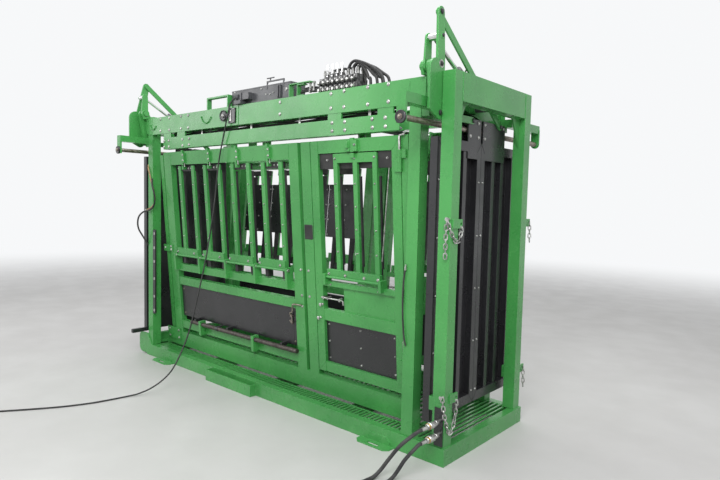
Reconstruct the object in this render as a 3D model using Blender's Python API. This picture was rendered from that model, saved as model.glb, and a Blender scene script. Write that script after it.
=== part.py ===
"""Hydraulic cattle crush: a welded frame with a squeeze side on each side and a sliding gate at each end.

Metres, +Z up. The tail end is at +X, the head end at -X, and the near side faces -Y.
"""

import math

import bmesh
import bpy
from mathutils import Matrix, Vector

# Overall sizes
BASE_LENGTH = 3.30
BASE_WIDTH = 0.96
FRAME_HEIGHT = 2.20

# Fits
GAP = 0.0003
RUNNING = 0.001
HOLE_PLAY = 0.0008
GATE_PLAY = 0.0012
BITE = 0.004

# Base and floor
RAIL_HEIGHT = 0.102
CHANNEL_WALL = 0.006
CHANNEL_FLANGE = 0.045
FLOOR_PLATE = 0.012
GRATE_EDGE = 0.012
WALK_SLOT_PITCH = 0.090
WALK_SLOT = 0.058
BAR_SLOT_PITCH = 0.096
BAR_SLOT = 0.058
TAIL_SLOT_PITCH = 0.036
TAIL_SLOT = 0.016
SILL_GAP = 0.060
JOIST = 0.040
JOIST_X = (-0.80, 0.0, 0.80)
HINGE_LUG = 0.012
FOOT_LENGTH = 0.26
FOOT_REACH = 0.075
FOOT_X = (-1.44, 1.04)
FOOT_WEB_HEIGHT = 0.058
FOOT_THICKNESS = 0.008
POCKET_X = (-0.60, -0.02)
POCKET_STAND = 0.045
HEAD_CHEEK_REACH = 0.135
HEAD_CHEEK_HEIGHT = 0.20

# Portals
POST = 0.080
POST_INSET = 0.012
HEADER_HEIGHT = 0.16
TAIL_POST_X = BASE_LENGTH / 2 - POST_INSET
HEAD_POST_X = -BASE_LENGTH / 2 + POST_INSET
POST_Y = BASE_WIDTH / 2 - POST_INSET
INNER_POST = 0.083
GATE_SPACE = 0.138
TAIL_FACE = TAIL_POST_X - POST - GATE_SPACE
INNER_POST_X = (TAIL_FACE - INNER_POST, TAIL_FACE)
BRACE = 0.20
GUIDE_BLOCK_Z = (0.30, 0.38)
CHAIN_LUG = 0.052
CHAIN_HOLE = 0.008
CHAIN_LUGS = (
    ((-0.455, -0.358), 1.365, -0.372),
    ((-0.425, -0.345), 0.375, -0.360),
    ((0.462, 0.545), 1.360, 0.530),
    ((0.462, 0.540), 0.360, 0.526),
)

# Side beams above the squeeze sides
TOP_BEAM = 0.148
LOW_BEAM = 0.100
BEAM_SPACE = 0.039
BEAM_TOP = FRAME_HEIGHT - 0.015
TOP_BEAM_Z = (BEAM_TOP - TOP_BEAM, BEAM_TOP)
LOW_BEAM_Z = (TOP_BEAM_Z[0] - BEAM_SPACE - LOW_BEAM, TOP_BEAM_Z[0] - BEAM_SPACE)
LOW_BEAM_X = (-1.36, 1.270)
BEAM_WALL = 0.006
BEAM_FLANGE = 0.048
CROSS_X = (-1.15, -0.40, 0.42, 1.16)
CROSS_TUBE = 0.060
CROSS_TUBE_RISE = 0.048
CROSS_TUBE_Z = (TOP_BEAM_Z[0] + CROSS_TUBE_RISE, TOP_BEAM_Z[0] + CROSS_TUBE_RISE + CROSS_TUBE)
HANGER_X = (-1.30, -1.08, 0.74, 1.16)
HANGER_WIDTH = 0.12

# Squeeze sides, in the plane of the side: x along the crush, n outwards, w up the slope
LEAN = math.radians(4.7)
HINGE_Y = 0.285
HINGE_Z = 0.135
SIDE_FACE = 0.025
SIDE_BACK = -0.025
SIDE_TOP = 1.745
TIE_N = (-0.062, -0.022)
SILL_W = (-0.018, 0.115)
SILL_X = (-1.545, 1.320)
END_STILE_X = (-1.490, -1.440)
HEAD_STILE_X = (-1.400, -1.290)
MID_STILE_X = (0.275, 0.370)
MID_POST_X = (0.402, 0.492)
REAR_STILE_X = (1.268, 1.320)
TOP_RAIL = 0.112
RAIL_A_W = (0.690, 0.752)
RAIL_B_W = (0.560, 0.630)
RAIL_C_W = (0.155, 0.225)
HINGE_PIN = 0.014

# Drop-bar units
UNIT_COUNT = 4
UNIT_PITCH = 0.378
UNIT_FIRST_RIGHT = -0.945
UNIT_WIDTH = 0.300
FIRST_UNIT_WIDTH = 0.320
UNIT_BAR = 0.040
UNIT_BAR_SPACING = 0.200
UNIT_BAR_DEPTH = 0.022
UNIT_LOW = 0.765
UNIT_TOP = 1.620
UNIT_PLATE_W = (0.824, 0.900)
UNIT_PIVOT_W = 0.835
UNIT_PIVOT_N = 0.040
UNIT_PIN = 0.009
UNIT_LUG = 0.022
PAD = 0.016
LATCH_WIDTH = 0.045
LATCH_STRAP = 0.020
LATCH_FROM_BAR = 0.050
LATCH_N = (0.020, 0.036)
LATCH_GAP = 0.006
CATCH = 0.030

# Side doors
DOOR_GAP = 0.006
DOOR_X = (HEAD_STILE_X[1] + DOOR_GAP, MID_STILE_X[0] - DOOR_GAP)
DOOR_SHEET = 0.010
DOOR_BACK = 0.018
PIPE_RADIUS = 0.017
PIPE_W = 0.248
PIPE_N = 0.052
DOOR_REACH = math.sqrt((RAIL_B_W[0] - PIPE_W - RUNNING) ** 2 - (PIPE_N + DOOR_BACK) ** 2)
DOOR_W = (0.270, PIPE_W + DOOR_REACH)
PIPE_BRACKET_X = (-0.93, -0.20)
REAR_DOOR_X = (MID_POST_X[1] + DOOR_GAP, REAR_STILE_X[0] - DOOR_GAP)
REAR_DOOR_W = (0.150, SIDE_TOP)
DOOR_STILE = 0.068
REAR_DOOR_BACK = -0.018
REAR_HINGE_N = 0.038
REAR_KNUCKLES = ((1.530, 1.610), (0.290, 0.370))
KNUCKLE = 0.012
KNUCKLE_FIXED = 0.050
REAR_UNIT_X = (0.620, 1.085)
REAR_BAR_X = (0.700, 0.872, 1.035)
REAR_UNIT_TOP = 1.655
REAR_LATCH_STRAP = 0.030

# End gates: distances out from the face that carries the gate, and across the crush
PANEL_OUT = (0.0590, 0.1077)
BAR_OUT = 0.0806
BAR_RADIUS = 0.0165
BAR_Z = BEAM_TOP - 0.265
TAIL_BAR_NEAR_Y = -0.765
HEAD_BAR_NEAR_Y = -0.715
BAR_FAR_Y = 0.862
HEAD_DROP = 0.030
NEAR_TONGUE_Y = (-0.185, 0.009)
FAR_TONGUE_Y = (0.051, 0.130)
RUNNER_REACH = -0.590
RUNNER_Z = (0.206, 0.240)
PANEL_Z = (0.220, BEAM_TOP - 0.335)
MEETING_Y = 0.030
PANEL_NEAR_Y = -0.455
PANEL_FAR_Y = 0.485
PANEL_STILE = 0.045
PANEL_RAIL = 0.060
PANEL_SLATS = 3
PANEL_FOOT_INSET = 0.012
HANGER_TOP = BEAM_TOP - 0.195
NEAR_HANGER_Y = (-0.130, 0.020)
FAR_HANGER_Y = (0.045, 0.330)
ROLLER_RADIUS = 0.020
LEVER_Z = BEAM_TOP + 0.050
LEVER_PIVOT = (-0.483, LEVER_Z)
TAIL_LEVER_TOP = (-0.495, LEVER_Z + 0.275)
HEAD_LEVER_TOP = (-0.420, LEVER_Z + 0.265)
LEVER_FOOT = (-0.482, LEVER_Z - 0.263)
ROD_PIN = (-0.478, LEVER_Z + 0.153)
BARREL_PIN = (0.080, LEVER_Z - 0.160)
STRUT_PIN = (0.245, LEVER_Z - 0.260)
LINK_PIN = (-0.100, LEVER_Z - 0.260)
BOSS_OUT = 0.034
BOSS_THIN_OUT = 0.016
BACK_PLATE_OUT = (0.0343, 0.0463)
CYLINDER_OUT = 0.0765
BEARING_OUT = (0.059, 0.089)
STRUT_OUT = (0.1080, 0.1200)
LEVER_OUT = (0.1203, 0.1353)
LEVER_TIP = 0.029
LEVER_OUTER_Y = -0.586
LEVER_SHOULDER = 0.060
LEVER_FOOT_RADIUS = 0.038
SHAFT_RADIUS = 0.023
BEARING_RADIUS = 0.036
BARREL_EAR = 0.034
PIN_RADIUS = 0.012
PIN_HEAD = 0.0025
LINK_HALF = 0.021
BARREL_RADIUS = 0.025
BARREL_LENGTH = 0.360
ROD_RADIUS = 0.013
GATE_ROD_LENGTH = 0.370
OUTRIGGER_OUT = (0.0477, 0.1077)
OUTRIGGER = 0.055
OUTRIGGER_Z = (LEVER_Z - 0.185 - OUTRIGGER, LEVER_Z - 0.185)
OUTRIGGER_INNER = 0.043
LEG_WALL = 0.014
LEG_INSET = 0.006
LEG_RADIUS = 0.030
END_DISC = 0.034

# Squeeze cylinder between the tops of the two sides
SQUEEZE_X = 0.90
SQUEEZE_LUG = 0.014
SQUEEZE_CLEVIS = 0.034
SQUEEZE_N = -0.072
SQUEEZE_W = 1.830
SQUEEZE_PIN = 0.014
SQUEEZE_BARREL = 0.365
SQUEEZE_ROD = 0.400
SQUEEZE_BARREL_RADIUS = 0.030
SQUEEZE_ROD_RADIUS = 0.014

# Controls on the near top beam
TRAY_X = (-0.400, 0.28)
TRAY_Y = (-0.440, -0.300)
TRAY_Z = (BEAM_TOP + GAP, BEAM_TOP + 0.120)
VALVE_X = (0.56, 0.90)
VALVE_COUNT = 8
VALVE_Y = (-0.440, -0.345)
VALVE_HEIGHT = 0.095
LEVER_SECTIONS = (1, 2, 3, 4)

# Power lead and supply hoses
CABLE_DIAMETER = 0.011
INLET_X = (-0.285, -0.140)
INLET_Y = TRAY_Y[0] - GAP
INLET_Z = BEAM_TOP + 0.058
RELIEF_LENGTH = 0.030
COIL_INNER = 0.0485
COIL_TURNS = 2
COIL_PITCH = CABLE_DIAMETER + 0.0012
COIL_STEPS = 24
COIL_TAIL = 0.085
COIL_TAIL_STEPS = 5
LEAD_SPACING = 0.058
LEAD_START_Y = -0.4620
LEAD_END = (-1.0850, -2.0500, 0.0058)
LEAD_HEADING = (-0.6000, -0.8000)
PLUG_RADIUS = 0.019
PLUG_LENGTH = 0.082
HOSE_DIAMETER = 0.021
HOSE_SPACING = 0.060
PORT_PLATE = 0.056
PORT_PLATE_X = (TAIL_POST_X - 0.004 - PORT_PLATE, TAIL_POST_X - 0.004)
HOSE_X = sum(PORT_PLATE_X) / 2
PORT_PLATE_Z = (0.112, 0.330)
PORT_PLATE_THICKNESS = 0.008
COUPLER_Z = (0.252, 0.176)
COUPLER_LENGTH = 0.165
FITTING_RADIUS = 0.015
FITTING_LENGTH = 0.075


def material(name, colour, roughness, metallic=0.0):
    found = bpy.data.materials.get(name)
    if found:
        return found
    made = bpy.data.materials.new(name)
    made.use_nodes = True
    shader = made.node_tree.nodes["Principled BSDF"]
    shader.inputs["Base Color"].default_value = (*colour, 1)
    shader.inputs["Roughness"].default_value = roughness
    shader.inputs["Metallic"].default_value = metallic
    return made


def green_paint():
    return material("green_paint", (0.10, 0.42, 0.13), 0.4)


def black_paint():
    return material("black_paint", (0.03, 0.03, 0.035), 0.5)


def dark_grey():
    return material("dark_grey", (0.09, 0.09, 0.10), 0.5)


def zinc_plate():
    return material("zinc_plate", (0.62, 0.62, 0.60), 0.35, 1.0)


def chrome_rod():
    return material("chrome_rod", (0.80, 0.80, 0.80), 0.12, 1.0)


def hose_rubber():
    return material("hose_rubber", (0.02, 0.02, 0.02), 0.6)


# Shapes, each a closed mesh

def mesh_from(bm):
    bmesh.ops.recalc_face_normals(bm, faces=bm.faces)
    mesh = bpy.data.meshes.new("shape")
    bm.to_mesh(mesh)
    bm.free()
    return mesh


def prism(axis, span, outline):
    """The outline, points in the other two axes in their order, drawn out along an axis."""
    places = {"x": (1, 2, 0), "y": (0, 2, 1), "z": (0, 1, 2)}[axis]
    bm = bmesh.new()
    start = []
    for point in outline:
        at = [0.0, 0.0, 0.0]
        at[places[0]], at[places[1]] = point
        at[places[2]] = min(span)
        start.append(bm.verts.new(at))
    face = bm.faces.new(start)
    drawn = bmesh.ops.extrude_face_region(bm, geom=[face])["geom"]
    shift = [0.0, 0.0, 0.0]
    shift[places[2]] = abs(span[1] - span[0])
    moved = [part for part in drawn if isinstance(part, bmesh.types.BMVert)]
    bmesh.ops.translate(bm, verts=moved, vec=shift)
    return mesh_from(bm)


def rectangle(u, v):
    return [(u[0], v[0]), (u[1], v[0]), (u[1], v[1]), (u[0], v[1])]


def box(x, y, z):
    x, y, z = sorted(x), sorted(y), sorted(z)
    return prism("z", z, rectangle(x, y))


def rod(axis, centre, span, radius, sides=16):
    """A round bar along an axis; centre holds its place on the other two axes."""
    turn = 2 * math.pi / sides
    ring = [
        (
            centre[0] + radius * math.cos(turn * (i + 0.5)),
            centre[1] + radius * math.sin(turn * (i + 0.5)),
        )
        for i in range(sides)
    ]
    return prism(axis, span, ring)


def capsule(a, radius_a, b, radius_b, steps=6):
    """The outline round two circles and their shared tangents."""
    along = math.atan2(b[1] - a[1], b[0] - a[0])
    reach = math.dist(a, b)
    lean = math.acos(max(-1.0, min(1.0, (radius_a - radius_b) / reach)))
    points = []
    for i in range(steps + 1):
        angle = along + lean + (2 * math.pi - 2 * lean) * i / steps
        points.append((a[0] + radius_a * math.cos(angle), a[1] + radius_a * math.sin(angle)))
    for i in range(steps + 1):
        angle = along - lean + 2 * lean * i / steps
        points.append((b[0] + radius_b * math.cos(angle), b[1] + radius_b * math.sin(angle)))
    return points


def round_bar(a, b, radius, sides=14):
    """A round bar between any two points."""
    a, b = Vector(a), Vector(b)
    bm = bmesh.new()
    bmesh.ops.create_cone(
        bm, cap_ends=True, segments=sides, radius1=radius, radius2=radius, depth=(b - a).length
    )
    turn = (b - a).to_track_quat("Z", "Y").to_matrix().to_4x4()
    bmesh.ops.transform(bm, matrix=Matrix.Translation((a + b) / 2) @ turn, verts=bm.verts)
    return mesh_from(bm)


def slotted_plate(x, y, z, slots_x, slots_y):
    """A flat plate with a row of slots through it: spans along x, one shared span along y."""
    xs = sorted({*x, *(edge for slot in slots_x for edge in slot)})
    ys = sorted({*y, *slots_y})
    open_cells = {(slot[0], slots_y[0]) for slot in slots_x}
    bm = bmesh.new()
    corners = {(px, py): bm.verts.new((px, py, z[0])) for px in xs for py in ys}
    for i in range(len(xs) - 1):
        for j in range(len(ys) - 1):
            if (xs[i], ys[j]) in open_cells:
                continue
            bm.faces.new(
                [
                    corners[xs[i], ys[j]],
                    corners[xs[i + 1], ys[j]],
                    corners[xs[i + 1], ys[j + 1]],
                    corners[xs[i], ys[j + 1]],
                ]
            )
    drawn = bmesh.ops.extrude_face_region(bm, geom=list(bm.faces))["geom"]
    moved = [part for part in drawn if isinstance(part, bmesh.types.BMVert)]
    bmesh.ops.translate(bm, verts=moved, vec=(0, 0, z[1] - z[0]))
    return mesh_from(bm)


# Assembly helpers

def helper(mesh, collection):
    made = bpy.data.objects.new("helper", mesh)
    made.hide_render = True
    made.display_type = "WIRE"
    collection.objects.link(made)
    return made


def weld(name, finish, adds, cuts=(), pivot=(0, 0, 0), carrier=None, smooth=None):
    """One solid: the adds joined, the cuts taken away, with its origin at its pivot."""
    body = bpy.data.objects.new(name, adds[0])
    bpy.context.scene.collection.objects.link(body)
    for kind, shapes in (("UNION", adds[1:]), ("DIFFERENCE", cuts)):
        if not shapes:
            continue
        group = bpy.data.collections.new(f"{name}_{kind.lower()}")
        bpy.context.scene.collection.children.link(group)
        for mesh in shapes:
            helper(mesh, group)
        step = body.modifiers.new(kind.lower(), "BOOLEAN")
        step.operation = kind
        step.operand_type = "COLLECTION"
        step.collection = group
        step.solver = "EXACT"
    graph = bpy.context.evaluated_depsgraph_get()
    mesh = bpy.data.meshes.new_from_object(body.evaluated_get(graph))
    body.modifiers.clear()
    for kind in ("union", "difference"):
        group = bpy.data.collections.get(f"{name}_{kind}")
        if group:
            for part in list(group.objects):
                bpy.data.objects.remove(part, do_unlink=True)
            bpy.data.collections.remove(group)
    tidy(mesh)
    mesh.transform(Matrix.Translation(-Vector(pivot)))
    mesh.name = name
    mesh.materials.clear()
    mesh.materials.append(finish)
    body.data = mesh
    body.location = pivot
    body.parent = carrier
    if smooth:
        mesh.shade_smooth()
        mesh.set_sharp_from_angle(angle=math.radians(smooth))
    return body


def tidy(mesh):
    """Welds the seams that a union leaves, and melts its needless edges."""
    bm = bmesh.new()
    bm.from_mesh(mesh)
    bmesh.ops.remove_doubles(bm, verts=bm.verts, dist=0.00002)
    bmesh.ops.dissolve_limit(
        bm, angle_limit=math.radians(0.2), verts=bm.verts, edges=bm.edges
    )
    bmesh.ops.triangulate(bm, faces=bm.faces)
    bm.to_mesh(mesh)
    bm.free()


def clear_scene():
    for obj in list(bpy.data.objects):
        bpy.data.objects.remove(obj, do_unlink=True)


def both(span, side):
    """A span across the crush on the near side (-1) or the far side (+1)."""
    return (span[0] * side, span[1] * side)


# Frame

def channel(axis, span, back, z, side, flange=CHANNEL_FLANGE, wall=CHANNEL_WALL):
    """A channel along x or y, its back outwards at that distance and its flanges turned in."""
    web = both((back - wall, back), side)
    ledge = both((back - flange, back - wall / 2), side)
    shapes = []
    for across, level in ((web, z), (ledge, (z[0], z[0] + wall)), (ledge, (z[1] - wall, z[1]))):
        shapes.append(box(span, across, level) if axis == "x" else box(across, span, level))
    return shapes


def base_frame():
    half_length, half_width = BASE_LENGTH / 2, BASE_WIDTH / 2
    web_y = half_width - CHANNEL_WALL * 0.75
    rail_z = (0, RAIL_HEIGHT)
    joist_z = (CHANNEL_WALL - 0.002, RAIL_HEIGHT - FLOOR_PLATE - GAP)
    adds, cuts = [], []
    for side in (-1, 1):
        adds += channel("x", (-half_length, half_length), half_width, rail_z, side)
        adds += channel("y", (-web_y, web_y), half_length, rail_z, side)
        adds += foot_shapes(side)
        cuts += foot_slots(side)
        adds += pocket_shapes(side)
        cheek = both((half_width - CHANNEL_WALL - 0.0057, half_width), side)
        adds.append(prism("y", cheek, cheek_outline(half_length)))
        for x, thick in hinge_lug_places():
            lug = both((HINGE_Y - SILL_GAP / 2 + GAP, HINGE_Y + SILL_GAP / 2 - GAP), side)
            adds.append(box((x, x + thick), lug, (joist_z[1] - 0.004, HINGE_Z + 0.030)))
        hinge_line = (SILL_X[0] - HINGE_LUG * 2, SILL_X[1] + HINGE_LUG * 2)
        hole = (HINGE_Y * side, HINGE_Z)
        cuts.append(rod("x", hole, hinge_line, HINGE_PIN + HOLE_PLAY, 10))
    lug_joists = [x + thick / 2 for x, thick in hinge_lug_places()]
    for x in (*JOIST_X, *lug_joists):
        low = 0 if x == 0 else joist_z[0]
        adds.append(box((x - JOIST / 2, x + JOIST / 2), (-web_y, web_y), (low, joist_z[1])))
    adds += head_guide_shapes()
    return weld("base_frame", green_paint(), adds, cuts)


def hinge_lug_places():
    """Where the squeeze hinge lugs start along x, and which way they are thick."""
    return ((SILL_X[0] - GAP, -HINGE_LUG), (SILL_X[1] + GAP, HINGE_LUG))


def foot_shapes(side):
    """The anchor feet, flat on the floor outside the rail, each with a web up the rail."""
    face = BASE_WIDTH / 2
    corner = 0.030
    shapes = []
    for x in FOOT_X:
        end = x + FOOT_LENGTH
        inner, outer = both((face - CHANNEL_WALL / 2, face + FOOT_REACH), side)
        cut = outer - corner * side
        plate = [(x, inner), (end, inner), (end, cut), (end - corner, outer)]
        plate += [(x + corner, outer), (x, cut)]
        shapes.append(prism("z", (0, FOOT_THICKNESS), plate))
        top = FOOT_WEB_HEIGHT
        web = [(x + corner, 0.004), (end - corner, 0.004), (end - corner, corner)]
        web += [(end - 2 * corner, top), (x + 2 * corner, top), (x + corner, corner)]
        ledge = both((face - CHANNEL_WALL / 2, face + CHANNEL_WALL), side)
        shapes.append(prism("y", ledge, web))
    return shapes


def foot_slots(side):
    y = both((BASE_WIDTH / 2 + FOOT_REACH * 0.4, BASE_WIDTH / 2 + FOOT_REACH * 0.7), side)
    return [box((x + FOOT_LENGTH / 3, x + FOOT_LENGTH * 2 / 3), y, (-0.01, 0.02)) for x in FOOT_X]


def pocket_shapes(side):
    """The forklift stand-off: a plate held off the rail by a web at each end."""
    half_width = BASE_WIDTH / 2
    height = (0, RAIL_HEIGHT - 0.014)
    plate = both((half_width + POCKET_STAND, half_width + POCKET_STAND + 0.008), side)
    shapes = [box(POCKET_X, plate, height)]
    web = both((half_width - CHANNEL_WALL / 2, half_width + POCKET_STAND + 0.004), side)
    for x in (POCKET_X[0], POCKET_X[1] - 0.008):
        shapes.append(box((x, x + 0.008), web, height))
    return shapes


def head_guide_shapes():
    """The bottom guide of the head gate: two strips on a shelf, with the panels' feet between."""
    reach = (-BASE_WIDTH / 2 + 0.004, BASE_WIDTH / 2 - 0.004)
    inner = HEAD_POST_X - PANEL_OUT[0] - PANEL_FOOT_INSET + RUNNING
    outer = HEAD_POST_X - PANEL_OUT[1] + PANEL_FOOT_INSET - RUNNING
    shelf = (outer - 0.008, -BASE_LENGTH / 2 + 0.004)
    shapes = [box(shelf, reach, (RAIL_HEIGHT - 0.008, RAIL_HEIGHT))]
    for x in ((inner, inner + 0.008), (outer - 0.008, outer)):
        shapes.append(box(x, reach, (RAIL_HEIGHT - 0.004, PANEL_Z[0] - 0.050)))
    return shapes


def cheek_outline(half_length):
    """The rounded side plate that carries the head gate's bottom guide."""
    left, right = -half_length - HEAD_CHEEK_REACH, -half_length + FOOT_LENGTH / 3
    top, low, radius = HEAD_CHEEK_HEIGHT, 0.012, 0.05
    points = [(right, low), (right, RAIL_HEIGHT - 0.002), (-half_length + 0.01, top)]
    for centre_z, start in ((top - radius, 90), (low + radius, 180)):
        for i in range(5):
            angle = math.radians(start + 90 * i / 4)
            points.append(
                (left + radius + radius * math.cos(angle), centre_z + radius * math.sin(angle))
            )
    return points


def slots(span, pitch, width):
    count = int((span[1] - span[0] - pitch / 2) / pitch)
    start = (span[0] + span[1]) / 2 - count * pitch / 2
    return [
        (start + pitch * i + (pitch - width) / 2, start + pitch * i + (pitch + width) / 2)
        for i in range(count)
    ]


def walkway(name, side):
    """A grating strip between the outer rail and the squeeze side's sill."""
    x = (HEAD_POST_X + POST + 0.003, SILL_X[1] - 0.003)
    outer = BASE_WIDTH / 2 - CHANNEL_FLANGE - GAP
    y = tuple(sorted(both((HINGE_Y + SILL_GAP / 2, outer), side)))
    z = (RAIL_HEIGHT - FLOOR_PLATE, RAIL_HEIGHT)
    inner = (y[0] + GRATE_EDGE, y[1] - GRATE_EDGE)
    plate = slotted_plate(x, y, z, slots(x, WALK_SLOT_PITCH, WALK_SLOT), inner)
    return weld(name, green_paint(), [plate])


def floor_grate():
    """The floor that the animal stands on, with the wider bars at the tail end."""
    rail = BASE_LENGTH / 2 - CHANNEL_FLANGE - GAP
    wide = SILL_X[1] + HINGE_LUG + 0.008
    z = (RAIL_HEIGHT - FLOOR_PLATE, RAIL_HEIGHT)
    plates = []
    for x, half, pitch, width in (
        ((-rail, wide + BITE), HINGE_Y - SILL_GAP / 2, BAR_SLOT_PITCH, BAR_SLOT),
        ((wide, rail), BASE_WIDTH / 2 - CHANNEL_FLANGE - GAP, TAIL_SLOT_PITCH, TAIL_SLOT),
    ):
        inner = (-half + GRATE_EDGE, half - GRATE_EDGE)
        plates.append(slotted_plate(x, (-half, half), z, slots(x, pitch, width), inner))
    return weld("floor_grate", green_paint(), plates)


def portal_shapes(outer_x, inner_x, bottom):
    adds = []
    for side in (-1, 1):
        y = both((POST_Y - POST, POST_Y), side)
        adds.append(box((outer_x, inner_x), y, (bottom, FRAME_HEIGHT)))
    web = CHANNEL_WALL if outer_x > inner_x else -CHANNEL_WALL
    top = (FRAME_HEIGHT - HEADER_HEIGHT, FRAME_HEIGHT)
    span = (-POST_Y + 0.01, POST_Y - 0.01)
    adds.append(box((outer_x - web, outer_x), span, top))
    for z in ((top[0], top[0] + CHANNEL_WALL), (top[1] - CHANNEL_WALL, top[1])):
        adds.append(box((outer_x, inner_x + web / 2), span, z))
    return adds


def tail_portal():
    outer, inner = TAIL_POST_X, TAIL_POST_X - POST
    adds = portal_shapes(outer, inner, RAIL_HEIGHT + GAP)
    cuts = []
    under = FRAME_HEIGHT - HEADER_HEIGHT
    guide = (INNER_POST_X[1] + PANEL_OUT[1] + RUNNING, inner + 0.004)
    for side in (-1, 1):
        corner = POST_Y - POST + 0.005
        brace = [
            (corner * side, under - BRACE),
            (corner * side, under + 0.004),
            ((corner - BRACE * 0.7) * side, under + 0.004),
            ((corner - BRACE * 0.7 + 0.04) * side, under - 0.012),
        ]
        adds.append(prism("x", (outer - 0.050, outer - 0.038), brace))
        adds.append(box(guide, both((POST_Y - 0.055, POST_Y - 0.005), side), GUIDE_BLOCK_Z))
    for (y0, y1), z, hole_y in CHAIN_LUGS:
        plate = (outer - 0.004, outer + 0.008) if y0 < 0 else (outer - 0.020, outer - 0.010)
        adds.append(box(plate, (y0, y1), (z - CHAIN_LUG / 2, z + CHAIN_LUG / 2)))
        cuts.append(rod("x", (hole_y, z), (outer - 0.03, outer + 0.02), CHAIN_HOLE, 8))
    return weld("tail_portal", green_paint(), adds, cuts)


def head_portal():
    adds = portal_shapes(HEAD_POST_X, HEAD_POST_X + POST, RAIL_HEIGHT + GAP)
    adds += gate_bosses(HEAD_POST_X, -1)
    return weld("head_portal", green_paint(), adds, gate_boss_holes(HEAD_POST_X, -1))


def inner_tail_frame():
    """The posts that the tail gate slides against, with their cross tube."""
    adds = []
    x = INNER_POST_X
    top = TOP_BEAM_Z[0] - GAP
    for side in (-1, 1):
        y = both((POST_Y - POST, POST_Y), side)
        adds.append(box(x, y, (RAIL_HEIGHT + GAP, TOP_BEAM_Z[1])))
    between = (-POST_Y + BEAM_FLANGE + GAP, POST_Y - BEAM_FLANGE - GAP)
    adds.append(box(x, between, (top - 0.06, TOP_BEAM_Z[1])))
    adds += gate_bosses(x[1], 1)
    return weld("inner_tail_frame", green_paint(), adds, gate_boss_holes(x[1], 1))


def arc(centre, radius, start, end, steps):
    """Points along an arc, from a start to an end angle in degrees."""
    points = []
    for i in range(steps + 1):
        angle = math.radians(start + (end - start) * i / steps)
        points.append((centre[0] + radius * math.cos(angle), centre[1] + radius * math.sin(angle)))
    return points


def gate_bosses(face, out):
    """The fixed ears on the carrying frame: the barrel's pivot and the lever's inner bearing."""
    span = (face - BITE * out, face + BOSS_OUT * out)
    thin = (face + BOSS_THIN_OUT * out, face + BOSS_OUT * out)
    clear = TOP_BEAM_Z[1] + RUNNING
    foot = OUTRIGGER_Z[1] + RUNNING
    post_in, post_out = -POST_Y + POST - 0.005, -POST_Y + 0.0015
    shoulder = clear - 0.030
    block = rectangle((post_out, post_in), (foot, shoulder))
    ear = [(post_out, foot + BITE), (post_in - BITE, foot + BITE), (post_in - BITE, shoulder)]
    ear += arc(LEVER_PIVOT, BEARING_RADIUS, -10, 215, 10)
    ear += [(LEVER_PIVOT[0] - 0.020, clear), (post_out, clear)]
    barrel_y, barrel_z = BARREL_PIN
    barrel_ear = capsule(
        (barrel_y, barrel_z), BARREL_EAR, (barrel_y, TOP_BEAM_Z[1] - BARREL_EAR), BARREL_EAR
    )
    return [prism("x", span, block), prism("x", thin, ear), prism("x", span, barrel_ear)]


def gate_boss_holes(face, out):
    span = (face - 0.07 * out, face + (BOSS_OUT + 0.01) * out)
    shaft = rod("x", LEVER_PIVOT, span, SHAFT_RADIUS + GATE_PLAY, 12)
    pin = rod("x", BARREL_PIN, span, PIN_RADIUS + GATE_PLAY, 8)
    return [shaft, pin]


def beam_shapes(z, web_x, flange_x, side):
    outer = POST_Y + GAP + BEAM_WALL
    web = both((POST_Y + GAP, outer), side)
    flange = both((POST_Y - BEAM_FLANGE, POST_Y + GAP + BEAM_WALL / 2), side)
    adds = [box(web_x, web, z)]
    for level in ((z[0], z[0] + BEAM_WALL), (z[1] - BEAM_WALL, z[1])):
        adds.append(box(flange_x, flange, level))
    return adds


def top_rails(name, side):
    """Both side beams of one side, joined by hanger plates; the far one carries the cross tubes."""
    top_x = (HEAD_POST_X + 0.02, INNER_POST_X[1] + 0.030)
    between = (HEAD_POST_X + POST + 0.003, INNER_POST_X[0] - 0.003)
    adds = beam_shapes(TOP_BEAM_Z, top_x, between, side)
    adds += beam_shapes(LOW_BEAM_Z, LOW_BEAM_X, LOW_BEAM_X, side)
    plate_y = both((POST_Y - 0.010, POST_Y + GAP + BEAM_WALL / 2), side)
    for x in HANGER_X:
        span = (x - HANGER_WIDTH / 2, x + HANGER_WIDTH / 2)
        adds.append(box(span, plate_y, (LOW_BEAM_Z[0] + 0.012, TOP_BEAM_Z[1] - 0.012)))
    if side > 0:
        near_end = -POST_Y + BEAM_FLANGE + GAP
        for x in CROSS_X:
            span = (x - CROSS_TUBE / 2, x + CROSS_TUBE / 2)
            adds.append(box(span, (near_end, POST_Y + BEAM_WALL / 2), CROSS_TUBE_Z))
    else:
        adds += roof_bracket_shapes()
    return weld(name, green_paint(), adds)


def roof_bracket_shapes():
    """The lifting loop and the valve stand on the near top beam."""
    top = TOP_BEAM_Z[1]
    y = (-POST_Y - 0.004, -POST_Y + 0.036)
    loop = [box((-0.695, -0.683), y, (top - 0.004, top + 0.095))]
    loop.append(box((-0.422, -0.410), y, (top - 0.004, top + 0.095)))
    loop.append(box((-0.695, -0.410), y, (top + 0.083, top + 0.095)))
    stand_y = (-POST_Y + 0.002, -POST_Y + 0.040)
    stand = [box((0.372, 0.440), stand_y, (top - 0.004, top + 0.006))]
    stand.append(box((0.372, 0.378), stand_y, (top - 0.004, top + 0.080)))
    stand.append(box((0.372, 0.440), stand_y, (top + 0.074, top + 0.080)))
    return loop + stand


# Squeeze sides

def side_empty(name, side):
    """The hinge line of a squeeze side; its children are drawn in the plane of the side."""
    made = bpy.data.objects.new(name, None)
    bpy.context.scene.collection.objects.link(made)
    made.location = (0, HINGE_Y * side, HINGE_Z)
    made.rotation_euler = (-LEAN * side, 0, 0)
    return made


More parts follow.
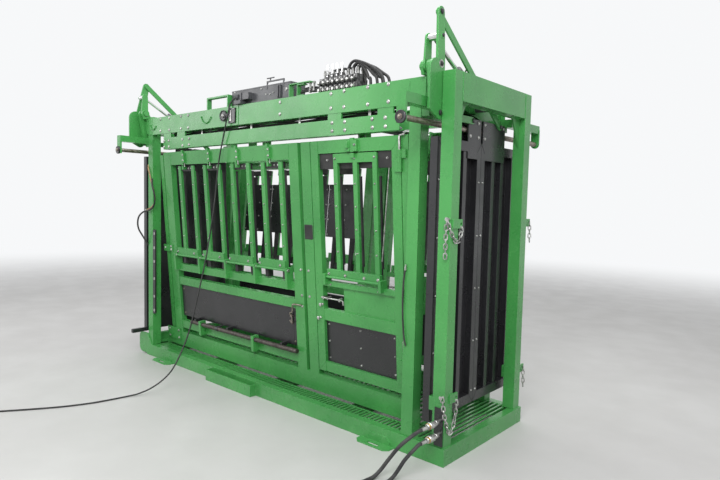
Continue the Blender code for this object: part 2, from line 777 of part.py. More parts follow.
def squeeze_frame(name, side, carrier):
    def bar(x, w, n=(SIDE_BACK, SIDE_FACE)):
        return box(x, both(n, side), w)

    sill_top = SILL_W[1] - 0.005
    adds = [bar(SILL_X, SILL_W, (SIDE_BACK - 0.005, SIDE_FACE))]
    stile_w = (sill_top, SIDE_TOP)
    adds.append(bar(END_STILE_X, (sill_top, SIDE_TOP - 0.02), (SIDE_BACK, 0.010)))
    for x in (HEAD_STILE_X, MID_STILE_X, MID_POST_X, REAR_STILE_X):
        adds.append(bar(x, stile_w))
    panel_x = (HEAD_STILE_X[0] + 0.005, MID_STILE_X[1] - 0.005)
    adds.append(bar(panel_x, (SIDE_TOP - TOP_RAIL, SIDE_TOP)))
    for rail in (RAIL_A_W, RAIL_B_W, RAIL_C_W):
        adds.append(bar(panel_x, rail, (SIDE_BACK + 0.004, SIDE_FACE - 0.004)))
    adds.append(bar((END_STILE_X[0], REAR_STILE_X[1]), (SIDE_TOP - 0.055, SIDE_TOP - 0.012), TIE_N))
    for x in unit_lug_places():
        lug = (x - UNIT_LUG / 2, x + UNIT_LUG / 2)
        adds.append(bar(lug, (RAIL_A_W[0] + 0.01, UNIT_PIVOT_W + 0.020), (-0.010, UNIT_PIVOT_N + 0.016)))
    for unit in range(UNIT_COUNT):
        adds += latch_shapes(bar, unit_left_bar(unit) + LATCH_FROM_BAR)
    for x in PIPE_BRACKET_X:
        strap = (x - 0.014, x + 0.014)
        adds.append(bar(strap, (RAIL_C_W[0], PIPE_W + PIPE_RADIUS + 0.014), (0.018, PIPE_N + PIPE_RADIUS + 0.006)))
    adds += squeeze_lug_shapes(bar)
    for w in REAR_KNUCKLES:
        span = (w[1] + GAP, w[1] + KNUCKLE_FIXED)
        adds.append(rod("z", (rear_hinge_x(), REAR_HINGE_N * side), span, KNUCKLE, 8))
        adds.append(bar((rear_hinge_x(), REAR_STILE_X[1] - 0.012), span, (0.020, REAR_HINGE_N)))
    long_pin = (HEAD_STILE_X[0] + 0.02, MID_STILE_X[1] - 0.02)
    cuts = [rod("x", (UNIT_PIVOT_N * side, UNIT_PIVOT_W), long_pin, UNIT_PIN + HOLE_PLAY, 8)]
    cuts.append(rod("x", (PIPE_N * side, PIPE_W), long_pin, PIPE_RADIUS + HOLE_PLAY, 12))
    cuts.append(squeeze_pin_hole(side))
    adds.append(rod("x", (0, 0), (SILL_X[0] - 0.010, SILL_X[1] + 0.010), HINGE_PIN, 10))
    return weld(name, green_paint(), adds, cuts, carrier=carrier)


def latch_shapes(bar, x):
    """A drop-bar latch: its strap over the top rail and its spring housing, just over the catch."""
    strap = bar((x, x + LATCH_STRAP), (UNIT_TOP + LATCH_GAP, SIDE_TOP + 0.010), LATCH_N)
    housing = bar((x + 0.018, x + LATCH_WIDTH), (SIDE_TOP - 0.100, SIDE_TOP - 0.015), (0.020, 0.042))
    return [strap, housing]


def squeeze_lug_shapes(bar):
    """The clevis on the side's top tie that holds an end of the squeeze cylinder."""
    n, w = SQUEEZE_N, SQUEEZE_W
    shapes = []
    for x in (SQUEEZE_X - SQUEEZE_CLEVIS, SQUEEZE_X + SQUEEZE_CLEVIS - SQUEEZE_LUG):
        tall = (SIDE_TOP - 0.055, w + 0.028)
        shapes.append(bar((x, x + SQUEEZE_LUG), tall, (n - 0.028, TIE_N[0] + 0.012)))
    return shapes


def squeeze_pin_hole(side):
    span = (SQUEEZE_X - SQUEEZE_CLEVIS - 0.02, SQUEEZE_X + SQUEEZE_CLEVIS + 0.02)
    return rod("x", (SQUEEZE_N * side, SQUEEZE_W), span, SQUEEZE_PIN + HOLE_PLAY, 10)


def unit_right(unit):
    return UNIT_FIRST_RIGHT + UNIT_PITCH * unit


def unit_width(unit):
    return FIRST_UNIT_WIDTH if unit == 0 else UNIT_WIDTH


def unit_left_bar(unit):
    return unit_right(unit) - UNIT_BAR_SPACING


def unit_lug_places():
    """The lugs between and beside the drop-bar units."""
    places = [HEAD_STILE_X[1] + 0.006]
    for unit in range(UNIT_COUNT - 1):
        left_end = unit_right(unit)
        right_start = unit_right(unit + 1) - unit_width(unit + 1)
        places.append((left_end + right_start) / 2)
    places.append(unit_right(UNIT_COUNT - 1) + 0.030)
    return places


def drop_bars(name, side, carrier, unit):
    """Two bars on one foot plate, hinged at the plate to fold down and outwards."""
    def bar(x, w, n):
        return box(x, both(n, side), w)

    right = unit_right(unit)
    left = right - unit_width(unit)
    bar_n = (-0.004, -0.004 + UNIT_BAR_DEPTH)
    adds = [bar((left, right), UNIT_PLATE_W, (0.006, UNIT_PIVOT_N - 0.006))]
    for x in (right - UNIT_BAR, right - UNIT_BAR - UNIT_BAR_SPACING):
        adds.append(bar((x, x + UNIT_BAR), (UNIT_PLATE_W[0] + 0.004, UNIT_TOP), bar_n))
        adds.append(bar((x + 0.003, x + UNIT_BAR - 0.003), (UNIT_LOW, UNIT_TOP - 0.06), (-PAD - 0.004, 0.0)))
    head = (right - UNIT_BAR - UNIT_BAR_SPACING - 0.02, right)
    adds.append(bar(head, (UNIT_TOP - 0.045, UNIT_TOP), (-0.016, 0.004)))
    catch_x = unit_left_bar(unit) + LATCH_FROM_BAR
    catch = (catch_x, catch_x + LATCH_STRAP)
    adds.append(bar(catch, (UNIT_TOP - CATCH, UNIT_TOP), (0.0, LATCH_N[1])))
    lugs = unit_lug_places()
    ends = (lugs[unit] - UNIT_LUG / 2 + 0.004, lugs[unit + 1] + UNIT_LUG / 2 - 0.004)
    adds.append(rod("x", (UNIT_PIVOT_N * side, UNIT_PIVOT_W), pin_reach(ends, unit), UNIT_PIN, 8))
    pivot = (0, UNIT_PIVOT_N * side, UNIT_PIVOT_W)
    return weld(name, green_paint(), adds, pivot=pivot, carrier=carrier)


def pin_reach(ends, unit):
    """Each pin takes half of a lug that it shares with its neighbour."""
    left, right = ends
    half = UNIT_LUG / 2 - 0.004
    left += half + 0.0005 if unit > 0 else 0
    right -= half + 0.0005 if unit < UNIT_COUNT - 1 else 0
    return (left, right)


def lower_door(name, side, carrier):
    """The black kick panel below the bars, hinged on the pipe at its foot."""
    low, high = DOOR_W
    adds = [box(DOOR_X, both((-0.006, -0.006 + DOOR_SHEET), side), (low, high))]
    edge = both((-DOOR_BACK, -0.002), side)
    for x in (DOOR_X[0], DOOR_X[1] - 0.03):
        adds.append(box((x, x + 0.03), edge, (low, high)))
    adds.append(box(DOOR_X, edge, (high - 0.03, high)))
    pipe_x = (PIPE_BRACKET_X[0] - 0.155, MID_STILE_X[0] + 0.025)
    adds.append(rod("x", (PIPE_N * side, PIPE_W), pipe_x, PIPE_RADIUS, 12))
    for x in (-1.03, -0.56, 0.12):
        strap = both((-0.004, PIPE_N), side)
        adds.append(box((x - 0.012, x + 0.012), strap, (PIPE_W + 0.004, PIPE_W + 0.032)))
    pivot = (0, PIPE_N * side, PIPE_W)
    return weld(name, black_paint(), adds, pivot=pivot, carrier=carrier)


def rear_latch_x():
    return sum(REAR_BAR_X) / len(REAR_BAR_X)


def rear_hinge_x():
    return REAR_DOOR_X[1] + DOOR_GAP / 2


def rear_door(name, side, carrier):
    """The side door at the tail: a mitred frame, a sheet, a kick panel and the drop bars' lugs."""
    def bar(x, w, n=(REAR_DOOR_BACK, SIDE_FACE)):
        return box(x, both(n, side), w)

    x0, x1 = REAR_DOOR_X
    w0, w1 = REAR_DOOR_W
    adds = [bar((x0, x0 + DOOR_STILE), (w0, w1)), bar((x1 - DOOR_STILE, x1), (w0, w1))]
    inside = (x0 + DOOR_STILE - 0.004, x1 - DOOR_STILE + 0.004)
    for w in ((w1 - 0.085, w1), (w0, w0 + 0.070), (0.520, 0.600), (0.765, 0.800)):
        adds.append(bar(inside, w, (REAR_DOOR_BACK + 0.003, SIDE_FACE - 0.003)))
    adds.append(bar((0.744, inside[1]), (0.595, 0.770), (0.0, 0.006)))
    adds.append(bar(inside, (w0 + 0.066, 0.524), (-0.010, -0.002)))
    for x in (REAR_UNIT_X[0] - UNIT_LUG - GAP, REAR_UNIT_X[1] + GAP):
        adds.append(bar((x, x + UNIT_LUG), (0.780, UNIT_PIVOT_W + 0.020), (-0.010, UNIT_PIVOT_N + 0.016)))
    strap_x = rear_latch_x()
    strap = (strap_x, strap_x + REAR_LATCH_STRAP)
    adds.append(bar(strap, (REAR_UNIT_TOP + LATCH_GAP, w1 + 0.004), LATCH_N))
    adds.append(bar((strap_x + 0.028, strap_x + 0.060), (w1 - 0.080, w1 - 0.010), (0.020, 0.042)))
    cuts = [
        rod(
            "x",
            (UNIT_PIVOT_N * side, UNIT_PIVOT_W),
            (REAR_UNIT_X[0] - 0.04, REAR_UNIT_X[1] + 0.04),
            UNIT_PIN + HOLE_PLAY,
            8,
        )
    ]
    for w in REAR_KNUCKLES:
        adds.append(rod("z", (rear_hinge_x(), REAR_HINGE_N * side), w, KNUCKLE, 8))
        adds.append(bar((x1 - 0.040, rear_hinge_x()), w, (0.020, REAR_HINGE_N)))
    pivot = (rear_hinge_x(), REAR_HINGE_N * side, 0)
    return weld(name, green_paint(), adds, cuts, pivot=pivot, carrier=carrier)


def rear_drop_bars(name, side, carrier):
    def bar(x, w, n):
        return box(x, both(n, side), w)

    left, right = REAR_UNIT_X
    adds = [bar((left, right), (0.824, 0.886), (0.006, UNIT_PIVOT_N - 0.006))]
    for x in REAR_BAR_X:
        adds.append(bar((x, x + 0.036), (0.830, REAR_UNIT_TOP), (-0.004, 0.018)))
        adds.append(bar((x + 0.002, x + 0.034), (UNIT_PLATE_W[0], REAR_UNIT_TOP - 0.15), (-0.020, 0.0)))
    cap = (REAR_BAR_X[0], REAR_BAR_X[-1] + 0.036)
    adds.append(bar(cap, (REAR_UNIT_TOP - 0.06, REAR_UNIT_TOP), (-0.004, 0.018)))
    catch = (rear_latch_x(), rear_latch_x() + REAR_LATCH_STRAP)
    adds.append(bar(catch, (REAR_UNIT_TOP - CATCH, REAR_UNIT_TOP), (0.010, LATCH_N[1])))
    centre = (UNIT_PIVOT_N * side, UNIT_PIVOT_W)
    adds.append(rod("x", centre, (left - UNIT_LUG + 0.002, right + UNIT_LUG - 0.002), UNIT_PIN, 8))
    return weld(name, green_paint(), adds, pivot=(0, *centre), carrier=carrier)


def squeeze_side(side_name, side):
    carrier = side_empty(f"squeeze_hinge_{side_name}", side)
    squeeze_frame(f"squeeze_frame_{side_name}", side, carrier)
    for unit in range(UNIT_COUNT):
        drop_bars(f"drop_bars_{side_name}_{unit + 1}", side, carrier, unit)
    lower_door(f"lower_door_{side_name}", side, carrier)
    rear_door(f"rear_door_{side_name}", side, carrier)
    rear_drop_bars(f"rear_drop_bars_{side_name}", side, carrier)


def on_side(side, n, w):
    """A point in the plane of a squeeze side, as its place across the crush and its height."""
    lean = LEAN
    across = HINGE_Y + n * math.cos(lean) + w * math.sin(lean)
    return (across * side, HINGE_Z + w * math.cos(lean) - n * math.sin(lean))


def squeeze_cylinder():
    """The cylinder across the crush that draws the tops of the two sides together."""
    near = on_side(-1, SQUEEZE_N, SQUEEZE_W)
    far = on_side(1, SQUEEZE_N, SQUEEZE_W)
    inside = SQUEEZE_CLEVIS - SQUEEZE_LUG - GAP
    eye = (SQUEEZE_X - inside, SQUEEZE_X + inside)
    pin = (SQUEEZE_X - SQUEEZE_CLEVIS - 0.004, SQUEEZE_X + SQUEEZE_CLEVIS + 0.004)
    line = (SQUEEZE_X, near[1])
    mouth = near[0] + SQUEEZE_BARREL
    body = [rod("y", line, (near[0] + 0.036, mouth), SQUEEZE_BARREL_RADIUS, 14)]
    body.append(rod("y", line, (mouth - 0.035, mouth), SQUEEZE_BARREL_RADIUS + 0.004, 14))
    body.append(rod("y", line, (near[0], near[0] + 0.040), 0.017, 8))
    body.append(rod("x", near, eye, 0.024, 12))
    body.append(rod("x", near, pin, SQUEEZE_PIN, 10))
    bore = [rod("y", line, (near[0] + 0.050, mouth + 0.01), SQUEEZE_ROD_RADIUS + RUNNING, 10)]
    weld("squeeze_barrel", dark_grey(), body, bore, pivot=(SQUEEZE_X, *near), smooth=30)
    piston = [rod("y", line, (far[0] - SQUEEZE_ROD, far[0] - 0.005), SQUEEZE_ROD_RADIUS, 10)]
    piston.append(rod("x", far, eye, 0.024, 12))
    piston.append(rod("x", far, pin, SQUEEZE_PIN, 10))
    weld("squeeze_rod", chrome_rod(), piston, pivot=(SQUEEZE_X, *far), smooth=30)


# End gates

def gate_panel(face, out, edges, hanger_y, drop):
    """A sliding gate panel with its slats, sheet, hanger plates and two rollers on the bar."""
    def level(near, far):
        return (face + near * out, face + far * out)

    low, high = PANEL_Z
    y0, y1 = edges
    depth = level(*PANEL_OUT)
    adds = []
    for y in ((y0, y0 + PANEL_STILE), (y1 - PANEL_STILE, y1)):
        adds.append(box(depth, y, (low, high)))
    for z in ((low, low + PANEL_RAIL), (high - PANEL_RAIL, high)):
        adds.append(box(depth, (y0 + 0.004, y1 - 0.004), z))
    adds.append(box(level(PANEL_OUT[0], PANEL_OUT[0] + 0.006), (y0 + 0.01, y1 - 0.01), (low + 0.01, high - 0.01)))
    inner_width = (y1 - y0 - 2 * PANEL_STILE) / PANEL_SLATS
    for i in range(1, PANEL_SLATS):
        y = y0 + PANEL_STILE + inner_width * i
        slat = level(PANEL_OUT[0] + 0.002, PANEL_OUT[1] - 0.006)
        adds.append(box(slat, (y - 0.02, y + 0.02), (low + 0.01, high - 0.01)))
    outer = level(PANEL_OUT[1] - 0.0100, PANEL_OUT[1])
    inner = level(PANEL_OUT[0], PANEL_OUT[0] + 0.0045)
    adds.append(box(outer, hanger_y, (high - 0.10, HANGER_TOP - drop)))
    adds.append(box(inner, hanger_y, (high - 0.02, HANGER_TOP - drop)))
    roller_z = BAR_Z - drop + BAR_RADIUS + GAP + ROLLER_RADIUS
    for y in (hanger_y[0] + 0.035, hanger_y[1] - 0.035):
        axle = level(PANEL_OUT[0] + 0.001, PANEL_OUT[1] - 0.002)
        adds.append(rod("x", (y, roller_z), axle, ROLLER_RADIUS, 10))
    return adds


def head_panel_foot(face, out, edges, tongue, runner):
    """The tongue that runs in the bottom guide; the near panel's foot reaches out past the post."""
    layer = (
        face + (PANEL_OUT[0] + PANEL_FOOT_INSET) * out,
        face + (PANEL_OUT[1] - PANEL_FOOT_INSET) * out,
    )
    low = PANEL_Z[0] + 0.010
    shapes = [box(layer, tongue, (RAIL_HEIGHT + 0.013, low))]
    if runner:
        shapes.append(box(layer, (RUNNER_REACH, edges[0] + 0.030), RUNNER_Z))
    return shapes


def lever_lower_outline():
    """The lever's wide lower plate: a rounded shoulder, a straight outer edge, a slanted foot."""
    y, z = LEVER_PIVOT
    foot_y, foot_z = LEVER_FOOT
    shoulder = (LEVER_OUTER_Y + LEVER_SHOULDER, z - LEVER_SHOULDER * 0.6)
    points = arc(shoulder, LEVER_SHOULDER, 180, 70, 6)
    points.append((y + BEARING_RADIUS - 0.002, z + 0.008))
    points += arc(LEVER_FOOT, LEVER_FOOT_RADIUS, 0, -110, 6)
    points.append((LEVER_OUTER_Y, foot_z + 0.010))
    return points


def gate_lever(name, face, out, top):
    """The lever's long outer plate and its short inner plate, on one shaft."""
    front = (face + LEVER_OUT[0] * out, face + LEVER_OUT[1] * out)
    back = (face + BACK_PLATE_OUT[0] * out, face + BACK_PLATE_OUT[1] * out)
    adds = [prism("x", front, capsule(top, LEVER_TIP, LEVER_PIVOT, BEARING_RADIUS))]
    adds.append(prism("x", front, lever_lower_outline()))
    adds.append(prism("x", back, capsule(ROD_PIN, 0.026, LEVER_PIVOT, 0.033)))
    shaft = (face + 0.002 * out, face + LEVER_OUT[1] * out)
    adds.append(rod("x", LEVER_PIVOT, shaft, SHAFT_RADIUS, 12))
    pin_head = (face + (LEVER_OUT[1] - 0.002) * out, face + (LEVER_OUT[1] + PIN_HEAD) * out)
    adds.append(rod("x", ROD_PIN, pin_head, 0.016, 10))
    span = (face + (STRUT_OUT[1] - 0.004) * out, face + (LEVER_OUT[1] + 0.01) * out)
    holes = [rod("x", point, span, PIN_RADIUS + GATE_PLAY, 8) for point in (top, LEVER_FOOT)]
    return weld(name, green_paint(), adds, holes, pivot=(face + LEVER_OUT[0] * out, *LEVER_PIVOT))


def gate_link(name, face, out, start, end):
    """A flat bar beside the lever: a pin through the lever at one end, an eye at the other."""
    layer = (face + STRUT_OUT[0] * out, face + STRUT_OUT[1] * out)
    adds = [prism("x", layer, capsule(start, LINK_HALF, end, LINK_HALF, 5))]
    pin = (face + STRUT_OUT[0] * out, face + (LEVER_OUT[1] + 0.002) * out)
    adds.append(rod("x", start, pin, PIN_RADIUS, 8))
    head = (face + STRUT_OUT[0] * out, face + (STRUT_OUT[1] + PIN_HEAD) * out)
    adds.append(rod("x", end, head, 0.015, 10))
    return weld(name, green_paint(), adds, pivot=(face + STRUT_OUT[0] * out, *start))


def gate_cylinder(prefix, face, out):
    """The gate's cylinder, from the frame's ear to the pin between the two lever plates."""
    centre = face + CYLINDER_OUT * out
    base = Vector((centre, *BARREL_PIN))
    tip = Vector((centre, *ROD_PIN))
    way = (tip - base).normalized()
    mouth = base + way * BARREL_LENGTH
    eye = (face + (BOSS_OUT + GAP) * out, face + 0.100 * out)
    pin = (face + 0.004 * out, face + 0.060 * out)
    body = [round_bar(base + way * 0.015, mouth, BARREL_RADIUS, 14)]
    body.append(round_bar(mouth - way * 0.035, mouth, BARREL_RADIUS + 0.004, 14))
    body.append(rod("x", BARREL_PIN, eye, 0.024, 12))
    body.append(rod("x", BARREL_PIN, pin, PIN_RADIUS, 8))
    for along in (0.06, BARREL_LENGTH - 0.050):
        port = base + way * along
        body.append(rod("x", (port.y, port.z), (centre, centre + 0.031 * out), 0.011, 8))
    bore = [round_bar(base + way * 0.05, mouth + way * 0.01, ROD_RADIUS + RUNNING, 10)]
    weld(f"{prefix}_barrel", dark_grey(), body, bore, pivot=tuple(base), smooth=30)
    piston = [round_bar(tip - way * GATE_ROD_LENGTH, tip, ROD_RADIUS, 10)]
    rod_eye = (face + (BACK_PLATE_OUT[1] + GAP) * out, face + (LEVER_OUT[0] - GAP) * out)
    piston.append(rod("x", ROD_PIN, rod_eye, 0.020, 12))
    weld(f"{prefix}_rod", chrome_rod(), piston, pivot=tuple(tip), smooth=30)


def slide_rail(name, face, out, near_end, drop):
    """The gate's slide bar with its outriggers and the lever's outer bearing."""
    def level(near, far):
        return (face + near * out, face + far * out)

    bar = (face + BAR_OUT * out, BAR_Z - drop)
    adds = [rod("y", bar, (near_end, BAR_FAR_Y), BAR_RADIUS, 12)]
    tube = level(*OUTRIGGER_OUT)
    tube_z = (OUTRIGGER_Z[0] - drop, OUTRIGGER_Z[1] - drop)
    near_leg = (near_end + LEG_INSET, near_end + LEG_INSET + LEG_WALL)
    far_leg = (BAR_FAR_Y - LEG_INSET - LEG_WALL, BAR_FAR_Y - LEG_INSET)
    inner = POST_Y - OUTRIGGER_INNER
    adds.append(box(tube, (near_leg[0], -inner), tube_z))
    adds.append(box(tube, (inner, far_leg[1]), tube_z))
    foot = level(GAP, OUTRIGGER_OUT[0] + BITE)
    foot_z = (tube_z[0] - LEG_RADIUS, tube_z[1])
    for side in (-1, 1):
        adds.append(box(foot, both((inner, POST_Y - 0.003), side), foot_z))
    adds.append(box(tube, near_leg, (bar[1] - LEG_RADIUS, tube_z[1])))
    round_leg = capsule(bar, LEG_RADIUS, (bar[0], tube_z[1] - LEG_RADIUS), LEG_RADIUS)
    adds.append(prism("y", far_leg, round_leg))
    root = (LEVER_PIVOT[0] + 0.030, tube_z[1] - LEG_RADIUS)
    ear = capsule(LEVER_PIVOT, BEARING_RADIUS, root, 0.026)
    adds.append(prism("x", level(*BEARING_OUT), ear))
    adds.append(rod("y", bar, (near_end - BITE, near_end + LEG_INSET + BITE), END_DISC, 14))
    hole = rod("x", LEVER_PIVOT, level(0.03, 0.10), SHAFT_RADIUS + GATE_PLAY, 12)
    return weld(name, green_paint(), adds, [hole])


def end_gate(prefix, face, out, is_head):
    drop = HEAD_DROP if is_head else 0.0
    slide_rail(
        f"{prefix}_slide_rail", face, out, HEAD_BAR_NEAR_Y if is_head else TAIL_BAR_NEAR_Y, drop
    )
    for side, edges, hanger_y, tongue in (
        ("near", (PANEL_NEAR_Y, MEETING_Y - RUNNING), NEAR_HANGER_Y, NEAR_TONGUE_Y),
        ("far", (MEETING_Y + RUNNING, PANEL_FAR_Y), FAR_HANGER_Y, FAR_TONGUE_Y),
    ):
        adds = gate_panel(face, out, edges, hanger_y, drop)
        if is_head:
            adds += head_panel_foot(face, out, edges, tongue, side == "near")
        weld(f"{prefix}_panel_{side}", black_paint(), adds)
    top = HEAD_LEVER_TOP if is_head else TAIL_LEVER_TOP
    gate_lever(f"{prefix}_lever", face, out, top)
    gate_link(f"{prefix}_strut", face, out, top, STRUT_PIN)
    gate_link(f"{prefix}_link", face, out, LEVER_FOOT, LINK_PIN)
    gate_cylinder(f"{prefix}_cylinder", face, out)


# Controls

def control_tray():
    """The long tray for the lead and lights on the near top beam, with its grab rail."""
    adds = [box(TRAY_X, TRAY_Y, TRAY_Z)]
    wall = 0.004
    inner_x = (TRAY_X[0] + wall, TRAY_X[1] - wall)
    cuts = [box(inner_x, (TRAY_Y[0] + wall, TRAY_Y[1] - wall), (TRAY_Z[0] + wall, TRAY_Z[1] + 0.01))]
    rail_z = TRAY_Z[1] + 0.028
    rail_y = TRAY_Y[0] + wall / 2
    for x in (0.02, 0.20):
        adds.append(box((x, x + 0.010), (rail_y - 0.005, rail_y + 0.005), (TRAY_Z[1] - 0.03, rail_z)))
    adds.append(box((0.02, 0.21), (rail_y - 0.005, rail_y + 0.005), (rail_z - 0.010, rail_z)))
    return weld("control_tray", dark_grey(), adds, cuts)


def valve_section_x(section):
    pitch = (VALVE_X[1] - VALVE_X[0]) / VALVE_COUNT
    return VALVE_X[0] + pitch * (section + 0.5)


def valve_bank():
    """The stacked valve block: one section for each function, with its spool caps and ports."""
    bottom = TOP_BEAM_Z[1] + GAP
    y0, y1 = VALVE_Y
    adds = [box(VALVE_X, (y0, y1), (bottom, bottom + 0.030))]
    for section in range(VALVE_COUNT):
        x = valve_section_x(section)
        body = (bottom + 0.026, bottom + VALVE_HEIGHT)
        adds.append(box((x - 0.018, x + 0.018), (y0 + 0.004, y1 - 0.004), body))
        adds.append(rod("y", (x, bottom + 0.060), (y0 - 0.018, y1 + 0.018), 0.014, 6))
    for section in LEVER_SECTIONS:
        x = valve_section_x(section)
        for cheek in (-0.014, 0.008):
            ear_z = (bottom + VALVE_HEIGHT - 0.004, bottom + VALVE_HEIGHT + 0.024)
            adds.append(box((x + cheek, x + cheek + 0.006), (y0 + 0.008, y0 + 0.032), ear_z))
    return weld("valve_bank", zinc_plate(), adds)


def valve_lever(name, section):
    """A spool lever, hinged between two cheeks on its section."""
    x = valve_section_x(section)
    y = VALVE_Y[0] + 0.020
    z = TOP_BEAM_Z[1] + GAP + VALVE_HEIGHT + 0.012
    width = (x - 0.008 + GAP, x + 0.008 - GAP)
    adds = [rod("x", (y, z), width, 0.009, 8)]
    adds.append(rod("z", (x, y), (z, z + 0.066), 0.005, 6))
    adds.append(rod("z", (x, y), (z + 0.044, z + 0.074), 0.009, 8))
    return weld(name, chrome_rod(), adds, pivot=(x, y, z), smooth=30)


# Cords, hoses and what holds them

def lead_points():
    """The power lead's hand-laid route: inlet, over the beam, down between bars, out on the floor."""
    return [
        (-0.3153, -0.4620, 2.2430),
        (-0.3260, -0.4620, 2.2430),
        (-0.3470, -0.4690, 2.2310),
        (-0.3590, -0.4820, 2.2080),
        (-0.3640, -0.4910, 2.1800),
        (-0.3700, -0.4965, 2.1300),
        (-0.3860, -0.4990, 2.0800),
        (-0.4070, -0.4990, 2.0150),
        (-0.4400, -0.4950, 1.9300),
        (-0.4820, -0.4890, 1.8300),
        (-0.5090, -0.4860, 1.7400),
        (-0.5240, -0.4890, 1.6300),
        (-0.5280, -0.4980, 1.5100),
        (-0.5280, -0.5200, 1.3500),
        (-0.5280, -0.5470, 1.1940),
        (-0.5280, -0.5820, 1.0060),
        (-0.5280, -0.6350, 0.7880),
        (-0.5280, -0.7050, 0.5220),
        (-0.5280, -0.7600, 0.3700),
        (-0.5330, -0.8150, 0.2550),
        (-0.5430, -0.8700, 0.1620),
        (-0.5600, -0.9350, 0.0980),
        (-0.5850, -1.0100, 0.0500),
        (-0.6200, -1.0900, 0.0180),
        (-0.6550, -1.1700, 0.0058),
        (-0.6720, -1.2800, 0.0058),
        (-0.7000, -1.4100, 0.0058),
        (-0.7650, -1.5700, 0.0058),
        (-0.8550, -1.7250, 0.0058),
        (-0.9600, -1.8850, 0.0058),
        (-1.0280, -1.9750, 0.0058),
        LEAD_END,
    ]


def hose_points(lower):
    """A supply hose's hand-laid route, from its coupler at the port plate out over the floor."""
    if lower:
        return [
            (1.6060, -0.6421, 0.1760),
            (1.6060, -0.6620, 0.1760),
            (1.5990, -0.7000, 0.1560),
            (1.5740, -0.7420, 0.1080),
            (1.5540, -0.7720, 0.0560),
            (1.5430, -0.8060, 0.0230),
            (1.5370, -0.8500, 0.0108),
            (1.5300, -0.9200, 0.0108),
            (1.5240, -1.0300, 0.0108),
            (1.5220, -1.1800, 0.0108),
            (1.5300, -1.3500, 0.0108),
            (1.5450, -1.5200, 0.0108),
            (1.5650, -1.6800, 0.0108),
            (1.5850, -1.8200, 0.0110),
            (1.5980, -1.9100, 0.0153),
            (1.6020, -1.9400, 0.0153),
        ]
    return [
        (1.6060, -0.6421, 0.2520),
        (1.6060, -0.6620, 0.2520),
        (1.5900, -0.7060, 0.2320),
        (1.5470, -0.7500, 0.1800),
        (1.5010, -0.7820, 0.1060),
        (1.4690, -0.8110, 0.0450),
        (1.4540, -0.8450, 0.0160),
        (1.4480, -0.8800, 0.0108),
        (1.4420, -0.9350, 0.0108),
        (1.4300, -1.0300, 0.0108),
        (1.4150, -1.1600, 0.0108),
        (1.4050, -1.3200, 0.0108),
        (1.4020, -1.4800, 0.0108),
        (1.4050, -1.6400, 0.0108),
        (1.4100, -1.7800, 0.0110),
        (1.4150, -1.8700, 0.0153),
        (1.4160, -1.9000, 0.0153),
    ]


def smooth_line(points, spacing):
    """Points on a smooth curve through the route's own points, no further apart than the spacing."""
    knots = [Vector(p) for p in points]
    knots = [2 * knots[0] - knots[1], *knots, 2 * knots[-1] - knots[-2]]
    line = []
    for i in range(1, len(knots) - 2):
        a, b, c, d = knots[i - 1 : i + 3]
        steps = max(1, math.ceil((c - b).length / spacing))
        for step in range(steps):
            t = step / steps
            bend = (2 * a - 5 * b + 4 * c - d) * t * t + (3 * b - a - 3 * c + d) * t * t * t
            line.append(0.5 * (2 * b + (c - a) * t + bend))
    line.append(knots[-2])
    return line, sum((b - a).length for a, b in zip(line, line[1:]))


def tube(name, finish, points, diameter, resolution):
    curve = bpy.data.curves.new(name, "CURVE")
    curve.dimensions = "3D"
    curve.bevel_depth = diameter / 2
    curve.bevel_resolution = resolution
    curve.use_fill_caps = True
    curve.render_resolution_u = 0
    spline = curve.splines.new("POLY")
    spline.points.add(len(points) - 1)
    for place, point in zip(spline.points, points):
        place.co = (*point, 1)
    made = bpy.data.objects.new(name, curve)
    made.data.materials.append(finish)
    bpy.context.scene.collection.objects.link(made)
    return made


def least_gap(points, diameter):
    """The smallest gap between the turns of a wound tube, measured on its points."""
    least = 1.0
    reach = int(math.pi * 6)
    for i, a in enumerate(points):
        for b in points[i + reach :]:
            least = min(least, (a - b).length - diameter)
    return least


def lead_coil_points():
    """The rest of the lead: wound inwards on the floor, back outwards on top, then down to the plug."""
    along = Vector((LEAD_HEADING[0], LEAD_HEADING[1], 0)).normalized()
    across = Vector((-along.y, along.x, 0))
    start = Vector(LEAD_END) + along * GAP
    low = start.z
    high = low + CABLE_DIAMETER + 0.0008
    straight = CABLE_DIAMETER
    outer = COIL_INNER + COIL_PITCH * COIL_TURNS
    centre = start + along * straight + across * outer
    first = math.atan2(-across.y, -across.x)
    points = [start, start + along * straight * 0.5]
    count = COIL_TURNS * COIL_STEPS
    for i in range(-count, count + 1):
        angle = first + 2 * math.pi * i / COIL_STEPS
        radius = COIL_INNER + COIL_PITCH * abs(i) / COIL_STEPS
        climb = (high - low) * min(1.0, max(0.0, i / (COIL_STEPS / 2) + 0.5))
        points.append(centre + Vector((radius * math.cos(angle), radius * math.sin(angle), climb)))
    away = points[-1].copy()
    for i in range(1, COIL_TAIL_STEPS + 1):
        share = i / COIL_TAIL_STEPS
        ease = share * share * (3 - 2 * share)
        point = away + along * COIL_TAIL * share
        point.z = high + (PLUG_RADIUS + GAP - high) * ease
        points.append(point)
    points.append(points[-1] + along * straight)
    return points


def bend_direction(points):
    return (points[-1] - points[-2]).normalized()


